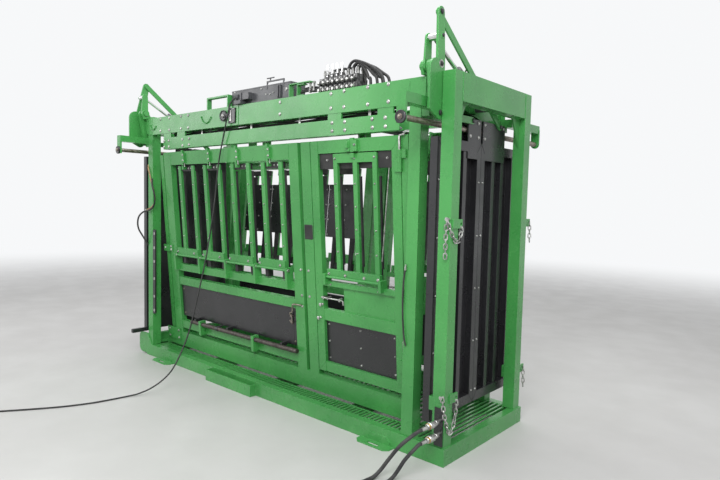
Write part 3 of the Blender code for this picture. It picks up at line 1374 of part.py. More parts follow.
def lathe(start, way, profile, sides=10):
    """A turned piece: (distance along the way, radius) pairs spun about a line."""
    bm = bmesh.new()
    rim = [(profile[0][0], 0.0), *profile, (profile[-1][0], 0.0)]
    ring = [bm.verts.new((radius, 0, along)) for along, radius in rim]
    edges = [bm.edges.new(pair) for pair in zip(ring, ring[1:])]
    bmesh.ops.spin(
        bm, geom=ring + edges, cent=(0, 0, 0), axis=(0, 0, 1), angle=2 * math.pi, steps=sides
    )
    bmesh.ops.remove_doubles(bm, verts=bm.verts, dist=0.00002)
    turn = way.to_track_quat("Z", "Y").to_matrix().to_4x4()
    bmesh.ops.transform(bm, matrix=Matrix.Translation(start) @ turn, verts=bm.verts)
    return mesh_from(bm)


def power_inlet():
    """The lead's flanged inlet on the tray, with a tapered relief that holds the lead."""
    x0, x1 = INLET_X
    y = INLET_Y
    adds = [box((x0 + 0.020, x1), (y - 0.042, y), (INLET_Z - 0.024, INLET_Z + 0.024))]
    adds.append(box((x0 + 0.050, x0 + 0.062), (y - 0.048, y), (INLET_Z - 0.029, INLET_Z + 0.029)))
    centre = Vector((x0 + 0.022, LEAD_START_Y, INLET_Z))
    relief = CABLE_DIAMETER / 2
    profile = [
        (0.0, 0.0165),
        (0.022, 0.0165),
        (0.022 + RELIEF_LENGTH * 0.3, relief + 0.0050),
        (0.022 + RELIEF_LENGTH, relief + 0.0016),
    ]
    adds.append(lathe(centre, Vector((-1, 0, 0)), profile))
    return weld("power_inlet", dark_grey(), adds, smooth=35)


def power_plug(end, way):
    """The lead's plug, on the floor past the coil, with three blades."""
    profile = [
        (0.0, CABLE_DIAMETER / 2 + 0.0016),
        (0.030, CABLE_DIAMETER / 2 + 0.0050),
        (0.032, PLUG_RADIUS - 0.003),
        (PLUG_LENGTH - 0.014, PLUG_RADIUS - 0.001),
        (PLUG_LENGTH, PLUG_RADIUS - 0.001),
    ]
    start = end + way * GAP
    adds = [lathe(start, way, profile)]
    tip = start + way * (PLUG_LENGTH - 0.003)
    side = Vector((-way.y, way.x, 0))
    for offset, drop in ((0.0063, 0.004), (-0.0063, 0.004), (0.0, -0.006)):
        foot = tip + side * offset + Vector((0, 0, drop))
        adds.append(round_bar(foot, foot + way * 0.022, 0.0024, 6))
    return weld("power_plug", hose_rubber(), adds, smooth=35)


def port_plate():
    """The plate low on the near tail post that the supply couplers screw into."""
    y = (-POST_Y - GAP - PORT_PLATE_THICKNESS, -POST_Y - GAP)
    return weld("hose_port_plate", black_paint(), [box(PORT_PLATE_X, y, PORT_PLATE_Z)])


def coupler(name, z):
    """A quick coupler: nipple, hexagon, sleeve with its locking collar, and hose tail."""
    start = Vector((HOSE_X, -POST_Y - 2 * GAP - PORT_PLATE_THICKNESS, z))
    way = Vector((0, -1, 0))
    profile = [
        (0.0, 0.0150),
        (0.028, 0.0150),
        (0.030, 0.0125),
        (0.045, 0.0125),
        (0.048, 0.0205),
        (0.088, 0.0205),
        (0.091, 0.0165),
        (0.108, 0.0165),
        (0.112, 0.0125),
        (COUPLER_LENGTH, 0.0115),
    ]
    return weld(name, zinc_plate(), [lathe(start, way, profile)], smooth=35)


def hose_fitting(name, end, way):
    """The quick coupler on a hose's free end."""
    profile = [
        (0.0, HOSE_DIAMETER / 2 + 0.0015),
        (0.026, HOSE_DIAMETER / 2 + 0.0015),
        (0.029, FITTING_RADIUS - 0.001),
        (0.052, FITTING_RADIUS - 0.001),
        (0.055, 0.0090),
        (FITTING_LENGTH, 0.0090),
    ]
    return weld(name, zinc_plate(), [lathe(end + way * GAP, way, profile)], smooth=35)


def lead_and_plug():
    route, length = smooth_line(lead_points(), LEAD_SPACING)
    tube("power_cable", hose_rubber(), route, CABLE_DIAMETER, 2)
    wound = lead_coil_points()
    tube("power_cable_coil", hose_rubber(), wound, CABLE_DIAMETER, 1)
    turned = sum((b - a).length for a, b in zip(wound, wound[1:]))
    print("lead laid out", round(length, 3), "m and wound", round(turned, 3), "m")
    print("least gap in the lead's coil", round(least_gap(wound, CABLE_DIAMETER) * 1000, 2), "mm")
    power_plug(wound[-1], bend_direction(wound))


def supply_hoses():
    for name, lower, z in (("pressure", False, COUPLER_Z[0]), ("return", True, COUPLER_Z[1])):
        coupler(f"coupler_{name}", z)
        route, length = smooth_line(hose_points(lower), HOSE_SPACING)
        tube(f"hose_{name}", hose_rubber(), route, HOSE_DIAMETER, 2)
        print(f"{name} hose", round(length, 3), "m")
        hose_fitting(f"hose_fitting_{name}", route[-1], bend_direction(route))


def main():
    clear_scene()
    base_frame()
    walkway("walkway_near", -1)
    walkway("walkway_far", 1)
    floor_grate()
    tail_portal()
    head_portal()
    inner_tail_frame()
    top_rails("top_rails_near", -1)
    top_rails("top_rails_far", 1)
    squeeze_side("near", -1)
    squeeze_side("far", 1)
    squeeze_cylinder()
    end_gate("tail_gate", INNER_POST_X[1], 1, False)
    end_gate("head_gate", HEAD_POST_X, -1, True)
    control_tray()
    valve_bank()
    for number, section in enumerate(LEVER_SECTIONS):
        valve_lever(f"valve_lever_{number + 1}", section)
    power_inlet()
    lead_and_plug()
    port_plate()
    supply_hoses()


main()
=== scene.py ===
"""Looks for the hydraulic cattle crush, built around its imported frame. Metres, +Z up."""

from math import atan2, cos, pi, radians, sin

import bmesh
import bpy
from mathutils import Matrix, Vector


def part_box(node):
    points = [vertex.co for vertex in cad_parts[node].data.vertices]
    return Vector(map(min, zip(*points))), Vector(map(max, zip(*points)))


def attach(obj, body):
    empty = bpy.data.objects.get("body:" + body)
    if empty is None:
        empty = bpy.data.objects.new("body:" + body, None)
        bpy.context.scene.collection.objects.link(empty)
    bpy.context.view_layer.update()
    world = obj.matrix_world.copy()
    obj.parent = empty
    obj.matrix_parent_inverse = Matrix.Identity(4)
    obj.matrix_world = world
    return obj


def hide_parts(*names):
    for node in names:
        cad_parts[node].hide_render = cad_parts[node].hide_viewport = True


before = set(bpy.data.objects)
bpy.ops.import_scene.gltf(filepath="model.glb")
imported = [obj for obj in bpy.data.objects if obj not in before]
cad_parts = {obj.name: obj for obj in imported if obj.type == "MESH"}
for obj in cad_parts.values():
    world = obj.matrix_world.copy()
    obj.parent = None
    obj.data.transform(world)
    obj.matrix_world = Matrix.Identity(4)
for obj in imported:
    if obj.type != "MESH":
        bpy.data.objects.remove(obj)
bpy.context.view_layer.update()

# Camera
CAMERA_PLACE = (3.3123, -3.11924, 1.47527)
CAMERA_YAW, CAMERA_PITCH, CAMERA_ROLL = (radians(a) for a in (131.3254, -3.8558, 1.3274))
CAMERA_LENS = 28.347
SENSOR = 36

# Sizes that the frame shares with its pieces
GAP = 0.0003
LEAN = radians(4.7)
HINGE_Y, HINGE_Z = 0.285, 0.135
SIDES = (("near", -1), ("far", 1))
BEAM_FACE = 0.4743
LEAD_DIAMETER = 0.011
HOSE_DIAMETER = 0.021
PRESSURE_LENGTH, RETURN_LENGTH = 1.425, 1.385

# Light: name, place, what it shines at, size, watts
LIGHTS = (
    ("key", (3.4, -4.2, 4.6), (0.2, -0.3, 1), (3.6, 2.6), 265),
    ("fill", (-4.5, -4, 3.6), (0, 0, 1), (3.6, 2.6), 80),
    ("top", (0, 0.5, 5.6), (0, 0, 0), (6, 4), 190),
)
WORLD_STRENGTH = 0.4
BACKDROP = (0.93, 0.94, 0.95, 1)
FLOOR_HALF = 45
FLOOR_FADE = (4.5, 13)


# Camera, floor and light

def placed(name, data):
    made = bpy.data.objects.new(name, data)
    bpy.context.scene.collection.objects.link(made)
    return made


def place_camera():
    yaw, pitch, roll = CAMERA_YAW, CAMERA_PITCH, CAMERA_ROLL
    ahead = Vector(
        (cos(pitch) * cos(yaw), cos(pitch) * sin(yaw), sin(pitch))
    )
    right = ahead.cross(Vector((0, 0, 1))).normalized()
    up = right.cross(ahead)
    turned_right = right * cos(roll) + up * sin(roll)
    turned_up = up * cos(roll) - right * sin(roll)
    place = Matrix((turned_right, turned_up, -ahead)).transposed().to_4x4()
    place.translation = CAMERA_PLACE
    camera = placed("camera", bpy.data.cameras.new("camera"))
    camera.data.sensor_width = SENSOR
    camera.data.lens = CAMERA_LENS
    camera.matrix_world = place
    bpy.context.scene.camera = camera


def area_light(name, place, target, size, watts):
    lamp = bpy.data.lights.new(name, "AREA")
    lamp.shape = "RECTANGLE"
    lamp.size, lamp.size_y = size
    lamp.energy = watts
    made = placed(name, lamp)
    made.location = place
    made.rotation_mode = "QUATERNION"
    made.rotation_quaternion = (Vector(target) - Vector(place)).to_track_quat("-Z", "Y")


# Node materials

def fill_in(node, **values):
    """Sets a node's own sockets; an underscore stands for a space in a socket's name."""
    for key, value in values.items():
        node.inputs[key.replace("_", " ")].default_value = value
    return node


class Nodes:
    """A small hand for building node trees."""

    def __init__(self, name):
        self.material = bpy.data.materials.new(name)
        self.material.use_nodes = True
        self.tree = self.material.node_tree
        self.shader = self.tree.nodes["Principled BSDF"]
        self.place = self.new("ShaderNodeTexCoord").outputs["Object"]

    def new(self, kind, **settings):
        node = self.tree.nodes.new(kind)
        for key, value in settings.items():
            setattr(node, key, value)
        return node

    def join(self, source, target):
        self.tree.links.new(source, target)

    def put(self, socket, value):
        if isinstance(value, bpy.types.NodeSocket):
            self.join(value, socket)
        else:
            socket.default_value = value

    def stretched(self, scale):
        node = fill_in(self.new("ShaderNodeMapping"), Scale=scale)
        self.join(self.place, node.inputs["Vector"])
        return node.outputs["Vector"]

    def noise(self, scale, detail=2, roughness=0.5, vector=None):
        node = fill_in(self.new("ShaderNodeTexNoise"), Scale=scale, Detail=detail, Roughness=roughness)
        self.join(vector or self.place, node.inputs["Vector"])
        return node.outputs["Fac"]

    def ramp(self, value, stops, low=0, high=1):
        """Maps a value from a span of stops onto low..high, clamped."""
        node = self.new("ShaderNodeMapRange", clamp=True, interpolation_type="SMOOTHSTEP")
        self.join(value, node.inputs["Value"])
        fill_in(node, From_Min=stops[0], From_Max=stops[1], To_Min=low, To_Max=high)
        return node.outputs["Result"]

    def math(self, operation, a, b=0):
        node = self.new("ShaderNodeMath", operation=operation)
        self.put(node.inputs[0], a)
        self.put(node.inputs[1], b)
        return node.outputs[0]

    def mix(self, share, a, b):
        node = self.new("ShaderNodeMix", data_type="RGBA")
        self.put(node.inputs["Factor"], share)
        self.put(node.inputs["A"], a if isinstance(a, bpy.types.NodeSocket) else (*a, 1))
        self.put(node.inputs["B"], b if isinstance(b, bpy.types.NodeSocket) else (*b, 1))
        return node.outputs["Result"]

    def axis(self, name):
        node = self.new("ShaderNodeSeparateXYZ")
        self.join(self.place, node.inputs[0])
        return node.outputs[name]

    def bump(self, heights, strength, distance):
        """Stacks height fields into one normal."""
        normal = None
        for height in heights:
            node = fill_in(self.new("ShaderNodeBump"), Strength=strength, Distance=distance)
            self.join(height, node.inputs["Height"])
            if normal:
                self.join(normal, node.inputs["Normal"])
            normal = node.outputs["Normal"]
        self.join(normal, self.shader.inputs["Normal"])

    def dress(self, colour, fog, stops, rough):
        """Gives the shader its colour and a roughness that wanders between two values."""
        self.join(colour, self.shader.inputs["Base Color"])
        self.join(self.ramp(fog, stops, *rough), self.shader.inputs["Roughness"])


def paint(name, tone, shade, dust, rough, wear=0.5):
    """Sprayed enamel: cloudy tone, runs, floor dust, fine scratches and a slight orange peel."""
    n = Nodes(name)
    cloudy = n.ramp(n.noise(1.7, 3), (0.35, 0.68))
    colour = n.mix(cloudy, tone, shade)
    streaks = n.noise(1, 4, 0.6, n.stretched((9, 9, 1.1)))
    colour = n.mix(n.ramp(streaks, (0.52, 0.8), 0, 0.35), colour, shade)
    speckle = n.noise(120, 2)
    colour = n.mix(n.ramp(speckle, (0.45, 0.8), 0, 0.1), colour, dust)
    low = n.ramp(n.axis("Z"), (0.02, 0.34), 1, 0)
    grime = n.ramp(n.noise(14, 5, 0.65), (0.42, 0.72))
    colour = n.mix(n.math("MULTIPLY", n.math("MULTIPLY", low, grime), 0.14), colour, dust)
    scratched = n.noise(1, 3, 0.7, n.stretched((55, 55, 420)))
    scuffed = n.ramp(scratched, (0.7, 0.76), 0, wear)
    worn = n.math("MULTIPLY", scuffed, n.ramp(n.noise(2.3, 2), (0.5, 0.62)))
    colour = n.mix(worn, colour, dust)
    n.dress(colour, n.noise(9, 4), (0.3, 0.75), rough)
    fill_in(n.shader, Coat_Weight=0.22, Coat_Roughness=0.16)
    n.bump([n.noise(7, 2), n.noise(420, 1)], 0.06, 0.0007)
    return n.material


def metal(name, tone, stain, rough, grain, metallic=1):
    """Bare or plated steel: drawn grain, blotches and dull patches."""
    n = Nodes(name)
    blotch = n.ramp(n.noise(38, 4, 0.6), (0.38, 0.7))
    colour = n.mix(blotch, tone, stain)
    spots = n.ramp(n.noise(170, 2), (0.58, 0.72), 0, 0.35)
    colour = n.mix(spots, colour, stain)
    n.dress(colour, n.noise(60, 3), (0.3, 0.7), rough)
    fill_in(n.shader, Metallic=metallic)
    n.bump([n.noise(1, 2, 0.5, n.stretched(grain))], 0.12, 0.0006)
    return n.material


def rubber(name, tone, dust, rough, ribs=900):
    """Hose and pad rubber: dull, dusty in patches, with a fine woven texture."""
    n = Nodes(name)
    cloudy = n.ramp(n.noise(7, 4), (0.4, 0.72), 0, 0.7)
    colour = n.mix(cloudy, tone, dust)
    fine = n.ramp(n.noise(240, 2), (0.52, 0.74), 0, 0.3)
    colour = n.mix(fine, colour, dust)
    n.dress(colour, n.noise(20, 3), (0.3, 0.7), rough)
    n.bump([n.noise(ribs, 1), n.noise(60, 2)], 0.1, 0.0005)
    return n.material


GREEN = paint("green_enamel", (0.07, 0.355, 0.084), (0.045, 0.27, 0.06), (0.24, 0.42, 0.22), (0.24, 0.36))
BLACK = paint("black_enamel", (0.021, 0.021, 0.024), (0.012, 0.012, 0.014), (0.11, 0.11, 0.1), (0.26, 0.42))
GREY = paint("grey_enamel", (0.075, 0.077, 0.085), (0.048, 0.049, 0.055), (0.22, 0.22, 0.21), (0.38, 0.55))
ZINC = metal("zinc", (0.58, 0.58, 0.56), (0.26, 0.26, 0.25), (0.26, 0.46), (160, 160, 160))
STEEL = metal("raw_steel", (0.36, 0.32, 0.28), (0.2, 0.155, 0.125), (0.34, 0.58), (30, 700, 700))
DULL_STEEL = metal(
    "dull_steel", (0.115, 0.1, 0.092), (0.06, 0.05, 0.045), (0.4, 0.62), (30, 600, 600), 0.7
)
CAST = metal("valve_castings", (0.2, 0.2, 0.2), (0.045, 0.045, 0.047), (0.34, 0.56), (90, 90, 90), 0.8)
CHROME = metal("chrome", (0.8, 0.8, 0.8), (0.62, 0.62, 0.62), (0.07, 0.16), (600, 60, 600))
BRASS = metal("brass", (0.62, 0.42, 0.16), (0.45, 0.28, 0.1), (0.22, 0.4), (300, 60, 300))
RUBBER = rubber("rubber", (0.013, 0.013, 0.014), (0.05, 0.049, 0.047), (0.48, 0.7))
TAN = rubber("tan_hose", (0.42, 0.27, 0.13), (0.3, 0.2, 0.11), (0.4, 0.6))
YELLOW = rubber("yellow_band", (0.55, 0.42, 0.08), (0.3, 0.25, 0.1), (0.5, 0.7))
SLEEVE = rubber("woven_sleeve", (0.02, 0.02, 0.022), (0.085, 0.085, 0.082), (0.6, 0.85), 420)

PAINT_OF_SLOT = {
    "green_paint": GREEN,
    "black_paint": BLACK,
    "dark_grey": GREY,
    "zinc_plate": ZINC,
    "chrome_rod": CHROME,
    "hose_rubber": RUBBER,
}
SLOT_OF_FINISH = {finish.name: slot for slot, finish in PAINT_OF_SLOT.items()}
SLOT_OF_FINISH |= {finish.name: "zinc_plate" for finish in (STEEL, DULL_STEEL, BRASS)}
SLOT_OF_FINISH |= {finish.name: "hose_rubber" for finish in (TAN, YELLOW)}


def seen_rays(tree):
    """One where the camera looks, straight or through gloss or glass, and zero elsewhere."""
    rays = tree.nodes.new("ShaderNodeLightPath")
    seen = rays.outputs["Is Camera Ray"]
    for kind in ("Is Glossy Ray", "Is Transmission Ray"):
        most = tree.nodes.new("ShaderNodeMath")
        most.operation = "MAXIMUM"
        tree.links.new(seen, most.inputs[0])
        tree.links.new(rays.outputs[kind], most.inputs[1])
        seen = most.outputs[0]
    return seen


def mix_shaders(tree, share, shader, other, output):
    blend = tree.nodes.new("ShaderNodeMixShader")
    tree.links.new(share, blend.inputs["Fac"])
    tree.links.new(shader.outputs[0], blend.inputs[1])
    tree.links.new(other.outputs[0], blend.inputs[2])
    tree.links.new(blend.outputs[0], tree.nodes[output].inputs["Surface"])


def floor_material():
    n = Nodes("pale_floor")
    clouds = n.ramp(n.noise(0.9, 5, 0.6), (0.35, 0.7))
    colour = n.mix(clouds, (0.545, 0.54, 0.532), (0.59, 0.586, 0.578))
    n.dress(colour, n.noise(3, 4), (0.3, 0.7), (0.42, 0.62))
    reach = n.new("ShaderNodeVectorMath", operation="LENGTH")
    n.join(n.place, reach.inputs[0])
    far = n.ramp(reach.outputs["Value"], FLOOR_FADE)
    glow = fill_in(n.new("ShaderNodeEmission"), Color=BACKDROP)
    share = n.math("MULTIPLY", far, seen_rays(n.tree))
    mix_shaders(n.tree, share, n.shader, glow, "Material Output")
    return n.material


def make_floor():
    bm = bmesh.new()
    bmesh.ops.create_grid(bm, x_segments=8, y_segments=8, size=FLOOR_HALF)
    mesh = bpy.data.meshes.new("floor")
    bm.to_mesh(mesh)
    bm.free()
    mesh.materials.append(floor_material())
    placed("floor", mesh)


def make_world():
    world = bpy.data.worlds.new("studio")
    bpy.context.scene.world = world
    world.use_nodes = True
    tree = world.node_tree
    light = fill_in(tree.nodes["Background"], Color=(1, 1, 1, 1), Strength=WORLD_STRENGTH)
    shown = fill_in(tree.nodes.new("ShaderNodeBackground"), Color=BACKDROP)
    mix_shaders(tree, seen_rays(tree), light, shown, "World Output")


# Cords

LEAD_ROUTE = [
    (-0.3153, -0.462, 2.243), (-0.326, -0.462, 2.243), (-0.347, -0.469, 2.231), (-0.359, -0.482, 2.208),
    (-0.364, -0.491, 2.18), (-0.37, -0.4965, 2.13), (-0.386, -0.499, 2.08), (-0.407, -0.499, 2.015),
    (-0.44, -0.495, 1.93), (-0.482, -0.489, 1.83), (-0.509, -0.486, 1.74), (-0.524, -0.489, 1.63),
    (-0.528, -0.498, 1.51), (-0.528, -0.52, 1.35), (-0.528, -0.547, 1.194), (-0.528, -0.582, 1.006),
    (-0.528, -0.635, 0.788), (-0.528, -0.705, 0.522), (-0.528, -0.76, 0.37), (-0.533, -0.815, 0.255),
    (-0.543, -0.87, 0.162), (-0.56, -0.935, 0.098), (-0.585, -1.01, 0.05), (-0.62, -1.09, 0.018),
    (-0.655, -1.17, 0.0058), (-0.672, -1.28, 0.0058), (-0.7, -1.41, 0.0058), (-0.765, -1.57, 0.0058),
    (-0.855, -1.725, 0.0058), (-0.96, -1.885, 0.0058), (-1.028, -1.975, 0.0058), (-1.085, -2.05, 0.0058),
]
LEAD_HEADING = Vector((-0.6, -0.8, 0))
COIL_INNER = 0.0485
COIL_TURNS = 2
COIL_PITCH = LEAD_DIAMETER + 0.0012
COIL_STEPS = 24
COIL_TAIL = 0.085
COIL_TAIL_STEPS = 5
PLUG_RADIUS = 0.019
PRESSURE_ROUTE = [
    (1.606, -0.6421, 0.252), (1.606, -0.662, 0.252), (1.59, -0.706, 0.232), (1.547, -0.75, 0.18),
    (1.501, -0.782, 0.106), (1.469, -0.811, 0.045), (1.454, -0.845, 0.016), (1.448, -0.88, 0.0108),
    (1.442, -0.935, 0.0108), (1.43, -1.03, 0.0108), (1.415, -1.16, 0.0108), (1.405, -1.32, 0.0108),
    (1.402, -1.48, 0.0108), (1.405, -1.64, 0.0108), (1.41, -1.78, 0.011), (1.415, -1.87, 0.0153),
    (1.416, -1.9, 0.0153),
]
RETURN_ROUTE = [
    (1.606, -0.6421, 0.176), (1.606, -0.662, 0.176), (1.599, -0.7, 0.156), (1.574, -0.742, 0.108),
    (1.554, -0.772, 0.056), (1.543, -0.806, 0.023), (1.537, -0.85, 0.0108), (1.53, -0.92, 0.0108),
    (1.524, -1.03, 0.0108), (1.522, -1.18, 0.0108), (1.53, -1.35, 0.0108), (1.545, -1.52, 0.0108),
    (1.565, -1.68, 0.0108), (1.585, -1.82, 0.011), (1.598, -1.91, 0.0153), (1.602, -1.94, 0.0153),
]


def coil_points():
    """The unseen rest of the lead, wound inwards on the floor and back outwards on top."""
    along = LEAD_HEADING.normalized()
    across = Vector((-along.y, along.x, 0))
    low = LEAD_ROUTE[-1][2]
    high = low + LEAD_DIAMETER + 0.0008
    straight = LEAD_DIAMETER
    outer = COIL_INNER + COIL_PITCH * COIL_TURNS
    centre = Vector(LEAD_ROUTE[-1]) + along * (GAP + straight) + across * outer
    first = atan2(-across.y, -across.x)
    count = COIL_TURNS * COIL_STEPS
    points = []
    for i in range(-count, count + 1):
        angle = first + 2 * pi * i / COIL_STEPS
        radius = COIL_INNER + COIL_PITCH * abs(i) / COIL_STEPS
        climb = (high - low) * min(1, max(0, i / (COIL_STEPS / 2) + 0.5))
        points.append(centre + Vector((radius * cos(angle), radius * sin(angle), climb)))
    away = points[-1].copy()
    for i in range(1, COIL_TAIL_STEPS + 1):
        share = i / COIL_TAIL_STEPS
        ease = share * share * (3 - 2 * share)
        point = away + along * COIL_TAIL * share
        point.z = high + (PLUG_RADIUS + GAP - high) * ease
        points.append(point)
    points.append(points[-1] + along * straight)
    return points


def knots_of(points):
    """The points of a smooth line, with one more at each end to steer it straight."""
    knots = [Vector(p) for p in points]
    return [2 * knots[0] - knots[1], *knots, 2 * knots[-1] - knots[-2]]


def cord_curve(name, route, diameter, finish):
    """One smooth open spline through the route's points."""
    knots = knots_of(route)
    curve = bpy.data.curves.new(name, "CURVE")
    curve.dimensions = "3D"
    curve.bevel_depth = diameter / 2
    curve.bevel_resolution = 4
    curve.resolution_u = 6
    curve.use_fill_caps = True
    spline = curve.splines.new("BEZIER")
    spline.bezier_points.add(len(route) - 1)
    for point, before, here, after in zip(spline.bezier_points, knots, knots[1:], knots[2:]):
        point.co = here
        point.handle_left_type = point.handle_right_type = "FREE"
        point.handle_left = here - (after - before) / 6
        point.handle_right = here + (after - before) / 6
    curve.materials.append(finish)
    made = placed(name, curve)
    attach(made, "frame")
    return made


def make_cords():
    lead = cord_curve("power_lead", [*LEAD_ROUTE, *coil_points()], LEAD_DIAMETER, RUBBER)
    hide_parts("power_cable", "power_cable_coil")
    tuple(LEAD_ROUTE[0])
    for kind, route, length in (
        ("pressure", PRESSURE_ROUTE, PRESSURE_LENGTH),
        ("return", RETURN_ROUTE, RETURN_LENGTH),
    ):
        hose = cord_curve(f"supply_hose_{kind}", route, HOSE_DIAMETER, SLEEVE)
        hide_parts(f"hose_{kind}")
        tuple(route[0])


# Finishes and rounded edges of the frame's own nodes

BEVEL_SEGMENTS = 2
BEVEL_ANGLE = radians(40)
EDGE_WIDTHS = {
    "base_frame": 0.003,
    "portal": 0.004,
    "inner_tail_frame": 0.004,
    "top_rails": 0.002,
    "slide_rail": 0.002,
    "squeeze_frame": 0.0022,
    "rear_door": 0.0022,
    "gate_lever": 0.0016,
}
OTHER_EDGES = 0.0012
UNROUNDED = ("power_", "hose_", "coupler", "cylinder", "squeeze_barrel", "squeeze_rod", "grate", "walkway")


def finish_nodes():
    for name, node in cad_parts.items():
        slot = node.material_slots[0].material.name.split(".")[0]
        for place in node.material_slots:
            place.material = CAST if name == "valve_bank" else PAINT_OF_SLOT[slot]


def bevel_edges(owner, width):
    bevel = owner.modifiers.new("edge", "BEVEL")
    bevel.width = width
    bevel.segments = BEVEL_SEGMENTS
    bevel.limit_method = "ANGLE"
    bevel.angle_limit = BEVEL_ANGLE
    bevel.use_clamp_overlap = True


def round_edges(node, width):
    weld = node.modifiers.new("weld", "WELD")
    weld.merge_threshold = 0.00003
    flat = node.modifiers.new("flat", "DECIMATE")
    flat.decimate_type = "DISSOLVE"
    flat.angle_limit = radians(0.5)
    bevel_edges(node, width)
    smooth = node.modifiers.new("normals", "WEIGHTED_NORMAL")
    smooth.keep_sharp = True


def round_nodes():
    for name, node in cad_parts.items():
        if not any(part in name for part in UNROUNDED):
            widths = [width for part, width in EDGE_WIDTHS.items() if part in name]
            round_edges(node, widths[0] if widths else OTHER_EDGES)


# Small shapes

ALONG, OUT, UP, NEARWARD = (1, 0, 0), (0, 1, 0), (0, 0, 1), (0, -1, 0)
CREASE = radians(38)
KITS = []


class Kit:
    """Gathers small closed shapes of one finish that ride on one body into one piece."""

    def __init__(self, name, finish, body="frame", place=None, edge=0, replaced=()):
        self.name, self.body, self.finish = name, body, finish
        self.place = place or Matrix()
        self.edge, self.replaced = edge, replaced
        self.bm = bmesh.new()
        KITS.append(self)

    def add(self, points, faces):
        made = [self.bm.verts.new(self.place @ Vector(point)) for point in points]
        for face in faces:
            self.bm.faces.new([made[i] for i in face])

    def block(self, x, y, z):
        corners = [(x[i & 1], y[i >> 1 & 1], z[i >> 2]) for i in range(8)]
        sides = [(0, 2, 3, 1), (4, 5, 7, 6), (0, 1, 5, 4), (2, 6, 7, 3), (0, 4, 6, 2), (1, 3, 7, 5)]
        self.add(corners, sides)

    def turned(self, start, way, profile, sides=14):
        """A turned shape: rings of (distance, radius) along one direction."""
        way = Vector(way).normalized()
        across = way.orthogonal().normalized()
        up = way.cross(across)
        points = []
        for along, radius in profile:
            for i in range(sides):
                angle = 2 * pi * (i + 0.5) / sides
                spoke = across * cos(angle) + up * sin(angle)
                points.append(Vector(start) + way * along + spoke * radius)
        self.rings(points, len(profile), sides)

    def rings(self, points, count, sides, closed=False):
        faces = []
        for ring in range(count if closed else count - 1):
            here, there = ring * sides, (ring + 1) % count * sides
            for i in range(sides):
                j = (i + 1) % sides
                faces.append((here + i, here + j, there + j, there + i))
        if not closed:
            faces.append(tuple(range(sides))[::-1])
            faces.append(tuple(range((count - 1) * sides, count * sides)))
        self.add(points, faces)

    def pipe(self, path, radius, sides=8, closed=False):
        """A round bar bent along a path."""
        path = [Vector(p) for p in path]
        count = len(path)
        points = []
        normal = None
        for i, here in enumerate(path):
            before = path[i - 1] if closed or i else here
            after = path[(i + 1) % count] if closed or i + 1 < count else here
            tangent = (after - before).normalized()
            if normal is None:
                normal = tangent.orthogonal().normalized()
            normal = (normal - tangent * normal.dot(tangent)).normalized()
            side = tangent.cross(normal)
            for k in range(sides):
                angle = 2 * pi * k / sides
                points.append(here + (normal * cos(angle) + side * sin(angle)) * radius)
        self.rings(points, count, sides, closed)

    def bent(self, points, radius, steps=5, sides=10):
        """A hose or bar that runs smoothly through a few points."""
        self.pipe(curved(points, steps), radius, sides)

    def bolt(self, place, way, radius):
        """A domed bolt head on its washer."""
        r = radius
        washer = [(-0.001, r * 1.15), (0.0014, r * 1.15), (0.0018, r * 1.05)]
        dome = [(0.0018, r), (0.004, r), (0.0062, r * 0.8), (0.0072, r * 0.35)]
        self.turned(place, way, washer + dome, 12)

    def heads(self, radius, level, places):
        """Bolt heads that face outwards at one level, at (x, height)."""
        for x, height in places:
            self.bolt((x, level, height), OUT, radius)

    def nut(self, place, way, radius):
        """A hexagon on its washer, with the end of its stud."""
        r = radius
        self.turned(place, way, [(-0.001, r * 1.3), (0.0018, r * 1.3)], 14)
        self.turned(place, way, [(0.001, r), (r * 0.75, r), (r * 0.9, r * 0.88)], 6)
        self.turned(place, way, [(r * 0.5, r * 0.5), (r * 1.15, r * 0.5), (r * 1.25, r * 0.4)], 10)

    def bead(self, start, end, radius=0.0032):
        """A rippled weld bead along one joint."""
        start, end = Vector(start), Vector(end)
        length = (end - start).length
        way = (end - start).normalized()
        last = 2 * max(3, round(length / BEAD_RIPPLE))
        profile = []
        for i in range(last + 1):
            swell = radius if i % 2 else radius * 0.78
            if i in (0, last):
                swell = radius * 0.4
            profile.append((length * i / last, swell))
        self.turned(start, way, profile, 8)

    def chain(self, path):
        """Welded links along a path, each turned a quarter from the last."""
        path = [Vector(p) for p in path]
        lengths = [(b - a).length for a, b in zip(path, path[1:])]
        count = max(2, round(sum(lengths) / LINK_PITCH))
        straight, bend = LINK_PITCH * 0.3, LINK_PITCH * 0.34
        for link in range(count):
            reach = sum(lengths) * (link + 0.5) / count
            leg = 0
            while leg < len(lengths) - 1 and reach > lengths[leg]:
                reach -= lengths[leg]
                leg += 1
            way = (path[leg + 1] - path[leg]).normalized()
            centre = path[leg] + way * reach
            across = way.cross(Vector((0.3, 0.2, 0.93))).normalized()
            if link % 2:
                across = way.cross(across)
            loop = []
            for i in range(LINK_STEPS):
                angle = 2 * pi * (i + 0.5) / LINK_STEPS
                shift = straight if cos(angle) > 0 else -straight
                along = way * (shift + bend * cos(angle))
                loop.append(centre + along + across * (bend * sin(angle)))
            self.pipe(loop, LINK_WIRE, 6, closed=True)

    def done(self):
        mesh = bpy.data.meshes.new(self.name)
        bmesh.ops.recalc_face_normals(self.bm, faces=self.bm.faces)
        self.bm.to_mesh(mesh)
        self.bm.free()
        mesh.materials.append(self.finish)
        mesh.shade_smooth()
        mesh.set_sharp_from_angle(angle=CREASE)
        made = placed(self.name, mesh)
        if self.edge:
            bevel_edges(made, self.edge)
        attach(made, self.body)
        if self.replaced:
            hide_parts(*self.replaced)


BEAD_RIPPLE = 0.009
LINK_PITCH = 0.026
LINK_WIRE = 0.0034
LINK_STEPS = 16


